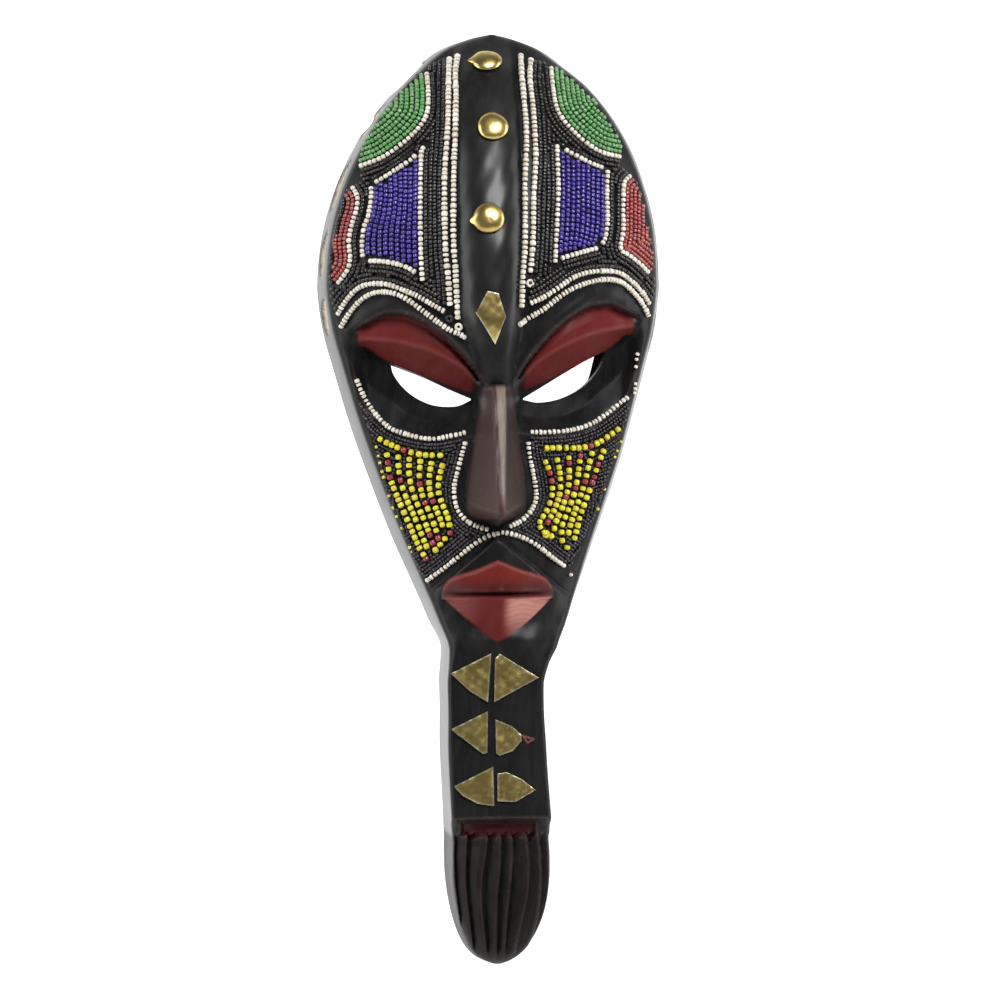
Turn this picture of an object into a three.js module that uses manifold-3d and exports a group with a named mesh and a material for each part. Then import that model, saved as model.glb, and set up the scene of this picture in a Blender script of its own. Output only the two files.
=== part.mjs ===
// Carved wooden mask with bead strands, bead fields, brass trim and a ring hanger.
// Millimetres, +Z up. The face looks towards -Y and the flat back lies in the plane y = 0.
// The origin is on the flat back at the middle of the crown. In the tables a height is
// counted from the tip of the beard, and a depth from the flat back towards the viewer.
import * as THREE from 'three';
import { mergeVertices } from 'three/addons/utils/BufferGeometryUtils.js';
import Module from 'manifold-3d';

const wasm = await Module();
wasm.setup();

// ---------------------------------------------------------------- driving dimensions
const TALL = 400;
const HALF_WIDTH = 74.7;
const WIDEST_HEIGHT = 290;
const CROWN_POWER = 0.555;
const BEARD_HALF_WIDTH = 22.9;
const BEARD_ROUND = 46;
const BEARD_POWER = 0.5;
const TIP_HALF_WIDTH = 2.5;
const MOUNT_HEIGHT = 393;

const GAP = 0.4;
const BEAD_THICK = 2.2;
const STRAND_WIDTH = 2.8;
const PLATE_THICK = 1.0;
const PRISM_DEPTH = 110;

const NOSE_TOP = 247;
const NOSE_BASE = 193;
const MOUTH_HEIGHT = 160.4;
const MOUTH_HALF = 23.5;
const CHIN_FRONT = 46;
const BEARD_TOP = 57.5;
const RECESS_TOP = 64.7;
const RECESS_HALF = 15;
const FLUTES = 7;

const HOLLOW_WALL = 14;
const HOLLOW_DEPTH = 27;

const BOSS_RADIUS = 6.5;
const BOSS_RISE = 3;
const PIN_RADIUS = 1.2;
const PIN_LENGTH = 8;
const PIN_FIT = 0.4;

const POCKET = { half: 12, bottom: 352, top: 385, depth: 4.6 };
const STRAP = { half: 5, thick: 1.2, bottom: 364.2, top: 382 };
const KNUCKLE = { height: 361, depth: 3.4, bore: 2, outer: 3, half: 2.5 };
const RING = { radius: 9, wire: 1 };
const SCREW = { head: 2.3, rise: 1.1, shank: 1.1, length: 8, heights: [370, 378] };

// ---------------------------------------------------------------- small curve helpers
const clamp01 = (value) => Math.min(1, Math.max(0, value));

function ramp(from, to, value) {
  const t = clamp01((value - from) / (to - from));
  return t * t * (3 - 2 * t);
}

function softMin(a, b, round) {
  const near = Math.max(round - Math.abs(a - b), 0) / round;
  return Math.min(a, b) - (near * near * round) / 4;
}

// A smooth curve through [position, value] stations that never overshoots them.
function profile(stations) {
  const slopes = stations.slice(1).map(
    ([at, value], i) => (value - stations[i][1]) / (at - stations[i][0]),
  );
  const tangents = stations.map((_, i) => {
    const before = slopes[Math.max(i - 1, 0)];
    const after = slopes[Math.min(i, slopes.length - 1)];
    return before * after <= 0 ? 0 : (2 * before * after) / (before + after);
  });
  return (at) => {
    const last = stations.length - 1;
    if (at <= stations[0][0]) return stations[0][1];
    if (at >= stations[last][0]) return stations[last][1];
    const i = stations.findIndex(([next]) => next > at) - 1;
    const span = stations[i + 1][0] - stations[i][0];
    const t = (at - stations[i][0]) / span;
    const rise = t * t * (3 - 2 * t);
    const leave = t * (1 - t) * (1 - t) * span * tangents[i];
    const arrive = t * t * (1 - t) * span * tangents[i + 1];
    return stations[i][1] + (stations[i + 1][1] - stations[i][1]) * rise + leave - arrive;
  };
}

// Straight lines through [position, value] knots in rising order.
function straight(knots, at) {
  const next = knots.findIndex(([position]) => position > at);
  if (next === 0) return knots[0][1];
  if (next < 0) return knots[knots.length - 1][1];
  const [fromAt, fromValue] = knots[next - 1];
  const [toAt, toValue] = knots[next];
  return fromValue + ((toValue - fromValue) * (at - fromAt)) / (toAt - fromAt);
}

// ---------------------------------------------------------------- outline of the block
const cheekHalf = profile([
  [50, 22.8], [66, 22.2], [78, 22], [96, 21.8], [113, 21.3], [122, 21.4], [131, 22.2], [139, 24.6],
  [148, 29.4], [157, 33.1], [174, 40], [191, 46.6], [209, 53.1], [226, 58.8], [243, 63.8],
  [261, 68.8], [278, 73.6], [292, 77],
]);

function outline(height) {
  const crownPart = clamp01((height - WIDEST_HEIGHT) / (TALL - WIDEST_HEIGHT));
  const crown = HALF_WIDTH * (1 - crownPart ** 2) ** CROWN_POWER;
  const beardPart = clamp01((BEARD_ROUND - height) / BEARD_ROUND);
  const beard = height > BEARD_ROUND ? Infinity : BEARD_HALF_WIDTH * (1 - beardPart ** 2) ** BEARD_POWER;
  return Math.max(softMin(Math.min(cheekHalf(height), beard), crown, 5), TIP_HALF_WIDTH);
}

// The block's own middle wanders a little from side to side, as it was hewn.
const lean = profile([
  [0, 1.3], [26, 2], [50, 1.8], [66, 1], [78, 0.3], [96, -0.5], [122, -0.9], [131, 0.6], [139, 2.8],
  [148, 3.2], [165, 2.9], [183, 2.2], [217, 1.7], [245, 1.2], [290, 1.1], [321, 1.9], [339, 2.6],
  [356, 3.4], [378, 3.8], [391, 2.7], [400, 2.5],
]);

const edgeInset = profile([[55, 2.2], [66, 1.2], [134, 1.2], [150, 3], [180, 3.8]]);

const frontOutline = (height) => outline(height) - Math.min(edgeInset(height), 0.25 * outline(height));

// ---------------------------------------------------------------- carved relief
const centreLine = profile([[130, -1.4], [150, 0.6], [190, 0.3], [245, 1], [280, -2]]);
const middleDepth = profile([
  [0, 14], [6, 22], [20, 31], [40, 38], [57, 42], [64.7, 42], [67, CHIN_FRONT], [141, CHIN_FRONT],
  [150, 44], [180, 43], [225, 41], [240, 41], [255, 44], [265, 48], [280, 52], [300, 54],
  [321, 52], [340, 47], [361, 39], [380, 28], [392, 17], [400, 7],
]);
const edgeDepth = profile([
  [0, 6], [8, 14], [25, 24], [50, 31], [62, 36], [67, 45.5], [134, 45.5], [142, 38], [155, 31],
  [175, 27], [220, 25], [260, 24], [300, 23], [340, 21], [370, 17], [388, 11], [400, 3],
]);
const domePower = profile([[55, 2], [66, 6], [134, 6], [150, 1.7], [230, 1.7], [290, 2.2]]);

function domeDepth(x, height) {
  const across = clamp01(Math.abs(x - lean(height)) / frontOutline(height));
  const edge = edgeDepth(height);
  return edge + (middleDepth(height) - edge) * (1 - across ** domePower(height));
}

const crestDepth = profile([
  [246, 45], [250, 48], [262, 55], [277, 60], [300, 60.5], [321, 58], [340, 53], [361, 44.5],
  [380, 32.5], [391, 21], [400, 8],
]);
const crestHalf = profile([[246, 6.5], [255, 8], [266, 11], [280, 13.5], [350, 14], [400, 12]]);

function crestRise(x, height) {
  if (height < 246) return 0;
  const across = clamp01(Math.abs(x - centreLine(height)) / crestHalf(height));
  return (crestDepth(height) - middleDepth(height)) * (1 - across ** 2.5);
}

// Curves of one eye over the distance from the eyes' middle; the pair is tilted a little.
const EYE_MIDDLE = 2;
const EYE_TILT = 0.04;
const bowlLow = profile([[6, 230], [12, 228], [24, 227], [36, 228], [46, 233], [54, 240], [63, 262]]);
const slotLow = profile([[8, 242.5], [12, 241], [20, 240], [27, 241.5], [35, 246], [41, 252], [46, 258.6],
  [63, 268]]);
const lidLow = profile([[8, 244.5], [20, 249], [32, 254.2], [44, 259.8], [58, 267.5], [63, 270]]);
const lidRidge = profile([[8, 248.5], [14, 255], [24, 261.5], [33, 265.5], [44, 268.8], [63, 271.5]]);
const lidTop = profile([[6, 247], [11, 254.5], [17, 262], [24, 269], [33, 275.5], [41, 278.8],
  [47, 279.2], [53, 277], [63, 273]]);

function eyeRise(x, height) {
  const out = Math.abs(x - EYE_MIDDLE);
  const level = height - EYE_TILT * (x - EYE_MIDDLE);
  const strength = ramp(6, 10.5, out) * (1 - ramp(54, 63, out));
  const ledge = lidTop(out) + 1.8;
  return strength * straight([
    [bowlLow(out), 0], [slotLow(out), -9.5], [lidLow(out), -8], [lidRidge(out), -2.2],
    [lidTop(out), -5.5], [ledge, -0.6], [ledge + 2.6, 0.8], [ledge + 7, 0],
  ], level);
}

const noseDepth = profile([[192, 64], [195, 66.5], [200, 66], [220, 60], [240, 53.5], [NOSE_TOP, 50]]);
const noseHalf = profile([[190, 11], [199, 13], [206, 12.6], [226, 9.7], [NOSE_TOP, 6.6]]);
const noseFlat = profile([[194, 1.2], [NOSE_TOP, 2.3]]);

function noseLevel(x, height, ground) {
  const out = Math.abs(x - centreLine(height));
  const half = noseHalf(height);
  if (out > half || height > NOSE_TOP + 1.6) return ground;
  const fall = clamp01((out - noseFlat(height)) / (half - noseFlat(height))) ** 1.08;
  const wedge = noseDepth(height) - (noseDepth(height) - ground) * fall;
  const under = clamp01((NOSE_BASE + 0.5 * out - height) / 4);
  const above = clamp01((height - NOSE_TOP) / 1.6);
  return wedge + (ground - wedge) * Math.max(under, above);
}

const lipTop = profile([[0, 174.2], [9, 170.4], [20, 166.6], [MOUTH_HALF, 161.8]]);

function mouthLevel(x, height, ground) {
  const out = Math.abs(x - centreLine(height));
  const muzzleTop = 185 - 0.84 * out;
  const muzzle = ground + 2 * ramp(muzzleTop + 1, muzzleTop - 1.6, height) * ramp(139, 146, height)
    * (1 - ramp(24, 29, out));
  if (out >= MOUTH_HALF) return muzzle;
  const bulge = 1 - (out / MOUTH_HALF) ** 1.6;
  const lipLow = 141.2 + 18.8 * (out / MOUTH_HALF) ** 1.25;
  const corner = edgeDepth(MOUTH_HEIGHT) + 9;
  return Math.max(muzzle, straight([
    [lipLow - 1.4, 0], [lipLow, corner + 6.5 * bulge], [MOUTH_HEIGHT - 2.2, corner + 18.5 * bulge],
    [MOUTH_HEIGHT, corner + 13 * bulge], [MOUTH_HEIGHT + 1.8, corner + 17 * bulge],
    [lipTop(out), corner + 9 * bulge], [lipTop(out) + 1.2, 0],
  ], height));
}

function beardFall(x, height) {
  const across = (x - lean(height)) / frontOutline(height);
  const flute = 0.5 + 0.5 * Math.cos(2 * Math.PI * (across * FLUTES) / 2);
  const strength = ramp(3, 14, height) * (1 - ramp(BEARD_TOP - 1, BEARD_TOP + 1.2, height));
  const recess = ramp(BEARD_TOP, BEARD_TOP + 1.5, height) * (1 - ramp(RECESS_TOP - 0.8, RECESS_TOP, height))
    * (1 - ramp(RECESS_HALF - 1, RECESS_HALF + 1, Math.abs(x - centreLine(height))));
  return 2.2 * flute * strength + 3.5 * recess;
}

// Depth of the carved front over the flat back.
function frontDepth(x, height) {
  const ground = domeDepth(x, height) + crestRise(x, height) + eyeRise(x, height) - beardFall(x, height);
  return mouthLevel(x, height, noseLevel(x, height, ground));
}

// ---------------------------------------------------------------- solids
function solidOf(geometry) {
  geometry.deleteAttribute('normal');
  geometry.deleteAttribute('uv');
  const merged = mergeVertices(geometry, 1e-4);
  return new wasm.Manifold(new wasm.Mesh({
    numProp: 3,
    vertProperties: Float32Array.from(merged.attributes.position.array),
    triVerts: Uint32Array.from(merged.index.array),
  }));
}

function geometryOf(solid) {
  const mesh = solid.getMesh();
  const geometry = new THREE.BufferGeometry();
  geometry.setAttribute('position', new THREE.BufferAttribute(mesh.vertProperties, 3));
  geometry.setIndex(new THREE.BufferAttribute(mesh.triVerts, 1));
  geometry.computeVertexNormals();
  return geometry;
}

// Heights of the block's rows: [from, to, rows], closer together where the relief is fine.
const ROW_ZONES = [
  [0, 6, 3], [6, 18, 2], [18, 56, 3], [56, 68, 4], [68, 136, 2], [136, 194, 11], [194, 244, 7],
  [244, 286, 8], [286, 376, 6], [376, 390, 2], [390, TALL, 3],
];
const COLUMNS = 24;

function rowHeights() {
  const inner = ROW_ZONES.flatMap(([from, to, rows]) => (
    Array.from({ length: rows }, (_, i) => from + ((to - from) * i) / rows)
  ));
  return [...inner, TALL];
}

// A box whose -Y face is a grid that takes the given depths; each row has its own widths.
function reliefBlock(heights, columns, backHalf, frontHalf, depth, back) {
  const rows = heights.length - 1;
  const geometry = new THREE.BoxGeometry(2, 2, rows, columns, 1, rows);
  const position = geometry.attributes.position;
  for (let i = 0; i < position.count; i += 1) {
    const across = position.getX(i);
    const height = heights[Math.round(position.getZ(i) + rows / 2)];
    if (position.getY(i) < 0) {
      const x = lean(height) + across * frontHalf(height);
      position.setXYZ(i, x, -depth(x, height), height);
    } else {
      position.setXYZ(i, lean(height) + across * backHalf(height), back, height);
    }
  }
  return solidOf(geometry);
}

// Extrudes an outline of [x, height] points from the flat back towards the viewer.
function prism(points, depth = PRISM_DEPTH) {
  const shape = new THREE.Shape(points.map(([x, height]) => new THREE.Vector2(x, height)));
  const geometry = new THREE.ExtrudeGeometry(shape, { depth, bevelEnabled: false, steps: 1 });
  geometry.rotateX(Math.PI / 2);
  return solidOf(geometry);
}

// The line moved sideways by a distance, with its corners mitred.
function offset(points, distance, closed = false) {
  const count = points.length;
  const normal = (i, j) => {
    const [dx, dz] = [points[j][0] - points[i][0], points[j][1] - points[i][1]];
    const length = Math.hypot(dx, dz);
    return [-dz / length, dx / length];
  };
  return points.map(([x, height], i) => {
    const previous = closed ? (i + count - 1) % count : Math.max(i - 1, 0);
    const next = closed ? (i + 1) % count : Math.min(i + 1, count - 1);
    const before = previous === i ? normal(i, next) : normal(previous, i);
    const after = next === i ? before : normal(i, next);
    const middle = [before[0] + after[0], before[1] + after[1]];
    const size = Math.hypot(...middle);
    const reach = distance / Math.max((before[0] * middle[0] + before[1] * middle[1]) / size, 0.6);
    return [x + (middle[0] / size) * reach, height + (middle[1] / size) * reach];
  });
}

function grown(points, distance) {
  const clockwise = THREE.ShapeUtils.isClockWise(points.map(([x, y]) => new THREE.Vector2(x, y)));
  return offset(points, clockwise ? distance : -distance, true);
}

const ribbon = (points, width) => prism(
  [...offset(points, width / 2), ...offset(points, -width / 2).reverse()],
);

// Evenly spaced points on a smooth line through the given points.
function smoothLine(points, step = 6.5) {
  const curve = new THREE.SplineCurve(points.map(([x, height]) => new THREE.Vector2(x, height)));
  const pieces = Math.max(1, Math.round(curve.getLength() / step));
  return curve.getSpacedPoints(pieces).map((point) => [point.x, point.y]);
}

// Smooth legs that meet at corners, as one line.
const corneredLine = (legs) => legs.flatMap((leg, i) => smoothLine(leg).slice(i === 0 ? 0 : 1));

const block = reliefBlock(rowHeights(), COLUMNS, outline, frontOutline, frontDepth, 0);

// The skin of a given thickness that lies a gap above the carved front.
function skin(thick, gap = GAP) {
  return block.translate([0, -gap - thick, 0]).subtract(block.translate([0, -gap, 0]));
}

const beadSkin = skin(BEAD_THICK);
const plateSkin = skin(PLATE_THICK, 0.3);

// ---------------------------------------------------------------- bead strands
const STRANDS = {
  crest_strand_left_outer: [[-15.6, 388], [-16.5, 381], [-17.2, 371], [-18, 359], [-19, 348],
    [-20, 338], [-20.5, 327], [-20.6, 312], [-20.4, 302], [-19.6, 294], [-18.8, 283]],
  crest_strand_left_inner: [[-12, 389], [-13.2, 381], [-13.5, 373], [-14.2, 357], [-15.2, 343],
    [-16.3, 331], [-16.9, 317], [-16.7, 303], [-16, 294], [-15.4, 285], [-15.1, 276]],
  crest_strand_right_inner: [[14, 389], [13.7, 381], [13.9, 370], [14.1, 358], [13.9, 349],
    [13.1, 339], [12.4, 327], [11.7, 312], [10.8, 300], [10.2, 292], [9.6, 280]],
  crest_strand_right_outer: [[18.2, 387], [17.3, 378.6], [17.7, 367], [17.9, 355], [17.8, 344],
    [17.1, 335], [16.2, 325], [15.8, 312], [14.8, 300], [14.3, 295]],
  brow_strand_left_upper: [[-64.8, 279], [-60.6, 285.5], [-55.8, 290], [-50.3, 291.4],
    [-44, 290.8], [-38.4, 288.6], [-32.6, 286], [-26.4, 282.2], [-22.4, 279.8]],
  brow_strand_left_lower: [[-63.6, 273.6], [-59.2, 280.4], [-54, 285.6], [-48.5, 287.8],
    [-42, 287.2], [-36.6, 284.4], [-31, 280], [-24.6, 275.2], [-19, 271.2], [-15, 269.6],
    [-11.6, 268.4]],
  brow_strand_right_upper: [[14, 281.9], [20, 284.7], [25.8, 288.4], [32.4, 292.8], [39.3, 295.2],
    [47.3, 296], [53.6, 295.2], [59.7, 291.3], [64.4, 286.8], [67, 283]],
  brow_strand_right_lower: [[8.6, 273], [13.4, 276], [20, 279.7], [25.8, 284.2], [31.6, 288],
    [39.3, 291], [47.3, 292.3], [54, 291.2], [59.2, 287.4], [63.6, 282.6], [66, 278.4]],
  eye_strand_left: [[-58, 252], [-54.6, 243.4], [-48.7, 235], [-42.5, 229.8], [-33.3, 226.6],
    [-25, 225.6], [-16.7, 226.8], [-11.4, 228]],
  eye_strand_right: [[14.6, 228.1], [21.3, 227.8], [32.2, 228.6], [41, 231], [47.6, 234.8],
    [54.4, 240], [58.4, 244]],
  nose_strand_left: [[-12.8, 222.4], [-13.6, 219.6], [-15, 214.6], [-16.8, 207.4], [-17, 201.8],
    [-15.7, 196], [-12, 191.6], [-8.6, 190]],
  nose_strand_right: [[13.9, 223.2], [14.3, 219], [15.5, 212.6], [16.6, 206], [16.8, 200.5],
    [14.8, 195.6], [11.4, 192.2], [9, 191]],
  lip_strand: [[-28.6, 165.9], [-22.3, 170.7], [-16, 175.8], [-8.6, 181.8], [-3, 185], [0.9, 186.2],
    [3.7, 186.2], [8.4, 185], [13.2, 183], [18, 180], [23.8, 175.4], [29.2, 171.6]],
  green_border_left: [[-25.4, 382], [-25.4, 371.4], [-26.4, 363], [-29.8, 357.2], [-34.5, 352.4],
    [-40.2, 348], [-45.8, 344.6], [-51.2, 342.8], [-54, 342]],
  green_border_right: [[27, 384], [26.9, 375], [27.8, 365.8], [30.6, 359.8], [35.6, 354.2],
    [41.2, 349.6], [47.2, 346.6], [54, 345.4]],
  red_border_left: [[-58, 333.4], [-55.8, 328.6], [-56.4, 322.6], [-58.2, 317], [-59.6, 309.6],
    [-59.2, 303], [-60.4, 297.6], [-65, 291.6]],
  red_border_right: [[59.6, 337.6], [56.3, 333.6], [55.4, 323], [55, 313.4], [53.8, 305.6],
    [57.8, 303], [63, 299.4], [67, 295.8]],
};

// Each blue panel is framed by four smooth sides that meet at corners.
const BLUE_FRAMES = {
  left: [
    [[-29.2, 346.6], [-30.4, 322], [-30.5, 303], [-30.1, 293.8]],
    [[-30.1, 293.8], [-36, 297.2], [-41.2, 299.4], [-47.4, 300.6], [-53.6, 301]],
    [[-53.6, 301], [-54.3, 306.4], [-53.6, 314], [-51.4, 320.4], [-50, 328.8], [-50.3, 333.2]],
    [[-50.3, 333.2], [-42, 337.8], [-35.2, 342], [-30.4, 345.6]],
  ],
  right: [
    [[27, 347.8], [27, 331], [26, 317], [25.3, 307.4], [24.9, 299.8]],
    [[24.9, 299.8], [31.6, 302], [38.2, 304], [44.4, 305.8]],
    [[44.4, 305.8], [46.6, 310.2], [48, 317.6], [48.2, 328.4], [49, 339]],
    [[49, 339], [41.8, 341.6], [36.8, 343.8], [30.2, 346.4], [28.1, 347.2]],
  ],
};

// Outer edges that close the coloured fans, panels and side fields past their strands.
const GREEN_OUTER = {
  left: [[-55.2, 343.6], [-53.2, 351], [-49.8, 357.8], [-43.8, 365.6], [-36.2, 373.2], [-28, 381]],
  right: [[56, 347.4], [55, 351.4], [51, 360.2], [45.6, 369], [38.2, 376.8], [29.4, 383.6]],
};
const RED_OUTER = {
  left: [[-66.4, 293.4], [-66.2, 300], [-65, 310], [-62.6, 319.6], [-59.8, 331]],
  right: [[68, 297.8], [67.6, 304.8], [66, 314.2], [64.2, 325.8], [61.2, 335.4]],
};
const YELLOW_FIELDS = {
  left: [[-48, 226.2], [-42.2, 223.4], [-35.8, 220.9], [-29.3, 219.3], [-20.6, 218.8], [-23, 211],
    [-23.5, 204.4], [-22, 198], [-19.6, 191.4], [-19, 186.6], [-21.3, 180.8], [-27.4, 175.4],
    [-31.2, 180], [-36.4, 192.6], [-40.4, 202.4], [-43.4, 211], [-44.8, 219]],
  right: [[20.4, 221.4], [28.2, 221.6], [36, 221.6], [43, 223.2], [49.1, 226.8], [53, 229.4],
    [47, 221], [44, 214.4], [41.6, 208], [38.6, 200.4], [35, 191.6], [31.8, 179.8], [27.7, 180.4],
    [23, 184.4], [18.8, 189], [21.8, 196], [24, 203], [23, 210.4], [21, 216.4]],
};
const CROWN_OUTER = {
  left: [[-64, 289.4], [-62.6, 297], [-61.8, 310], [-60, 325], [-59, 333.6], [-57.6, 339],
    [-55, 346], [-50, 357], [-44, 366], [-36.4, 373.8], [-28.5, 382], [-21, 386.6]],
  right: [[64.8, 290.6], [64, 298.4], [62, 310], [61, 325], [60.2, 334.6], [58.6, 341],
    [56, 350], [51.4, 360.8], [46, 369.6], [38.4, 377.4], [29.8, 384.6], [22.6, 386.6]],
};
const CHEEK_OUTER = {
  left: [[-52, 231], [-48.2, 217], [-44, 202], [-39.4, 188], [-34.4, 175], [-32.4, 170]],
  right: [[57.4, 239], [54.2, 227], [49.2, 212], [44.2, 197], [38.4, 184], [32.6, 175.4]],
};

const CLEAR_WIDTH = STRAND_WIDTH + 2 * GAP;
const strandLines = Object.fromEntries(
  Object.entries(STRANDS).map(([name, points]) => [name, smoothLine(points)]),
);
Object.entries(BLUE_FRAMES).forEach(([side, legs]) => {
  strandLines[`blue_border_${side}`] = corneredLine(legs);
});
const clearing = (name) => ribbon(strandLines[name], CLEAR_WIDTH);

// ---------------------------------------------------------------- bead fields
function greenPrism(side) {
  return prism([...strandLines[`green_border_${side}`], ...GREEN_OUTER[side]]);
}

function redPrism(side) {
  return prism([...strandLines[`red_border_${side}`], ...RED_OUTER[side]]);
}

const bluePrism = (side) => prism(strandLines[`blue_border_${side}`]);

// The blue field ends inside its frame; the frame's open end is left out.
const BLUE_INSET = CLEAR_WIDTH / 2 + 0.5;
function blueInside(side) {
  return prism(grown(strandLines[`blue_border_${side}`].slice(0, -1), -BLUE_INSET));
}

function crownPrism(side) {
  const brow = strandLines[`brow_strand_${side}_upper`];
  const browOutwards = side === 'left' ? [...brow].reverse() : brow;
  const colours = [greenPrism(side), redPrism(side), bluePrism(side)];
  const strands = [`crest_strand_${side}_outer`, `crest_strand_${side}_inner`,
    `brow_strand_${side}_upper`, `green_border_${side}`, `red_border_${side}`,
    `blue_border_${side}`].map(clearing);
  const whole = prism([...strandLines[`crest_strand_${side}_outer`], ...browOutwards,
    ...CROWN_OUTER[side]]);
  return [...colours, ...strands].reduce((rest, cut) => rest.subtract(cut), whole);
}

function cheekPrism(side) {
  const lip = strandLines.lip_strand.filter(([x]) => (side === 'left' ? x < -7 : x > 8));
  const eye = strandLines[`eye_strand_${side}`];
  const eyeOutwards = (side === 'left' ? [...eye].reverse() : eye).slice(1, -3);
  const lipInwards = side === 'left' ? lip : [...lip].reverse();
  const noseUpwards = [...strandLines[`nose_strand_${side}`]].reverse();
  const whole = prism([...eyeOutwards, ...CHEEK_OUTER[side], ...lipInwards, ...noseUpwards]);
  const yellow = prism(grown(YELLOW_FIELDS[side], GAP));
  const strands = [`eye_strand_${side}`, `nose_strand_${side}`, 'lip_strand'].map(clearing);
  return [yellow, ...strands].reduce((rest, cut) => rest.subtract(cut), whole);
}

// ---------------------------------------------------------------- materials
function finish(colour, roughness, metalness = 0) {
  return new THREE.MeshStandardMaterial({ color: colour, roughness, metalness });
}

const FINISHES = {
  wood: finish(0x1e1e20, 0.4),
  white: finish(0xe9e2d6, 0.35),
  black: finish(0x17171a, 0.35),
  green: finish(0x63a85e, 0.4),
  blue: finish(0x3d2d99, 0.35),
  red: finish(0xb04a48, 0.4),
  yellow: finish(0xe2d822, 0.35),
  brass: finish(0xa8883a, 0.35, 1),
  steel: finish(0x9b9890, 0.4, 1),
};

const mask = new THREE.Group();

function add(name, geometry, material) {
  const mesh = new THREE.Mesh(geometry, material);
  mesh.name = name;
  mask.add(mesh);
  return mesh;
}

// ---------------------------------------------------------------- brass bosses
const BOSSES = [[-0.7, 386], [0, 356], [-3, 316.8]];

const UP = new THREE.Vector3(0, 1, 0);

// Turns a piece that stands on +Y so that it stands on the wood at [x, height].
function standOnWood(geometry, [x, height], lift) {
  const step = 4;
  const slope = (frontDepth(x, height + step) - frontDepth(x, height - step)) / (2 * step);
  const outwards = new THREE.Vector3(0, -1, -slope).normalize();
  const foot = new THREE.Vector3(x, -frontDepth(x, height), height).addScaledVector(outwards, lift);
  geometry.applyQuaternion(new THREE.Quaternion().setFromUnitVectors(UP, outwards));
  geometry.translate(foot.x, foot.y, foot.z);
  return solidOf(geometry);
}

function bossGeometry() {
  const rings = 4;
  const dome = Array.from({ length: rings }, (_, i) => {
    const turn = (Math.PI / 2) * (i / rings);
    return new THREE.Vector2(BOSS_RADIUS * Math.cos(turn), BOSS_RISE * Math.sin(turn));
  });
  return new THREE.LatheGeometry([
    new THREE.Vector2(0, -PIN_LENGTH), new THREE.Vector2(PIN_RADIUS, -PIN_LENGTH),
    new THREE.Vector2(PIN_RADIUS, 0), ...dome, new THREE.Vector2(0, BOSS_RISE),
  ], 14);
}

const bossLift = GAP + 0.3;
const pinHole = () => new THREE.CylinderGeometry(PIN_RADIUS + PIN_FIT, PIN_RADIUS + PIN_FIT,
  2 * (PIN_LENGTH + 1), 8);

// ---------------------------------------------------------------- carved block
// The hollow behind the face: half width and depth over the height.
const hollowHalf = profile([[152, 8], [162, 17], [180, 26], [215, 37], [255, 48], [290, 56],
  [320, 54], [345, 44], [360, 31], [366, 20]]);
const hollowEnd = (height) => ramp(148, 175, height) * (1 - ramp(345, 374, height));

function hollowDepth(x, height) {
  const across = clamp01(Math.abs(x - lean(height)) / hollowHalf(height));
  const wall = Math.max(domeDepth(x, height) - HOLLOW_WALL, 4);
  return 3 + Math.min(HOLLOW_DEPTH, wall) * (1 - across ** 3.5) * (0.25 + 0.75 * hollowEnd(height));
}

function hollow() {
  const heights = [152, 160, 172, 188, 206, 226, 246, 266, 286, 306, 326, 344, 357, 366];
  return reliefBlock(heights, 8, hollowHalf, hollowHalf, hollowDepth, 3);
}

const EYE_SLOTS = {
  left: [[-42.8, 258.4], [-41.2, 252.8], [-37, 247.4], [-31.2, 243], [-24, 240.2], [-15.4, 239.9],
    [-9.3, 242.6], [-18.2, 246.9], [-29.7, 252.7]],
  right: [[12.9, 242.6], [19.5, 241.2], [28.2, 242.6], [37.2, 246.6], [43.4, 252], [47.6, 258.4],
    [48.4, 262.8], [38.5, 258.1], [28.3, 252.2], [19.5, 246.9]],
};
const eyeSlot = (side) => prism(EYE_SLOTS[side]);

function rimPocket() {
  const { half, bottom, top, depth } = POCKET;
  const geometry = new THREE.BoxGeometry(2 * half, 2 * depth, top - bottom);
  geometry.translate(0, 0, (top + bottom) / 2);
  return solidOf(geometry);
}

const strapFace = -POCKET.depth + 0.3 + STRAP.thick;

function screwHole(height) {
  const radius = SCREW.shank + 0.35;
  const geometry = new THREE.CylinderGeometry(radius, radius, 2 * (SCREW.length + 0.5), 8);
  geometry.translate(0, strapFace, height);
  return solidOf(geometry);
}

function maskBody() {
  const pins = BOSSES.map((spot) => standOnWood(pinHole(), spot, bossLift));
  const cuts = [hollow(), eyeSlot('left'), eyeSlot('right'), rimPocket(), ...pins,
    ...SCREW.heights.map(screwHole)];
  return cuts.reduce((rest, cut) => rest.subtract(cut), block);
}

add('mask_body', geometryOf(maskBody()), FINISHES.wood);
BOSSES.forEach((spot, i) => {
  add(`brass_boss_${i + 1}`, geometryOf(standOnWood(bossGeometry(), spot, bossLift)), FINISHES.brass);
});

// ---------------------------------------------------------------- brass plates
const LOZENGE = [[-8.8, 277.6], [-4.1, 286.5], [0.5, 285.5], [3.6, 276], [-0.8, 264.6]];
const TRIANGLES = [
  [[-20, 127.6], [-3, 135.8], [-4.6, 115.4], [-12.4, 120.4]],
  [[-1.4, 133.6], [0.6, 135.6], [16.8, 125.4], [-2, 115.4]],
  [[-20.2, 104.3], [-4.7, 111.6], [-5.1, 94.4], [-6.9, 93.8]],
  [[-1.5, 108.1], [5.6, 105], [9.3, 101.6], [9.3, 99], [5.6, 94.9], [0, 93], [-1.4, 94]],
  [[-19.2, 80.4], [-2.7, 88.4], [-2.5, 72], [-9.5, 73.1], [-15.8, 76.6]],
  [[-0.9, 85.4], [2.8, 86], [9.6, 82.8], [15, 78.3], [6.4, 73.5], [-1, 74]],
];
const plate = (points) => geometryOf(prism(points).intersect(plateSkin));
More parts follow.
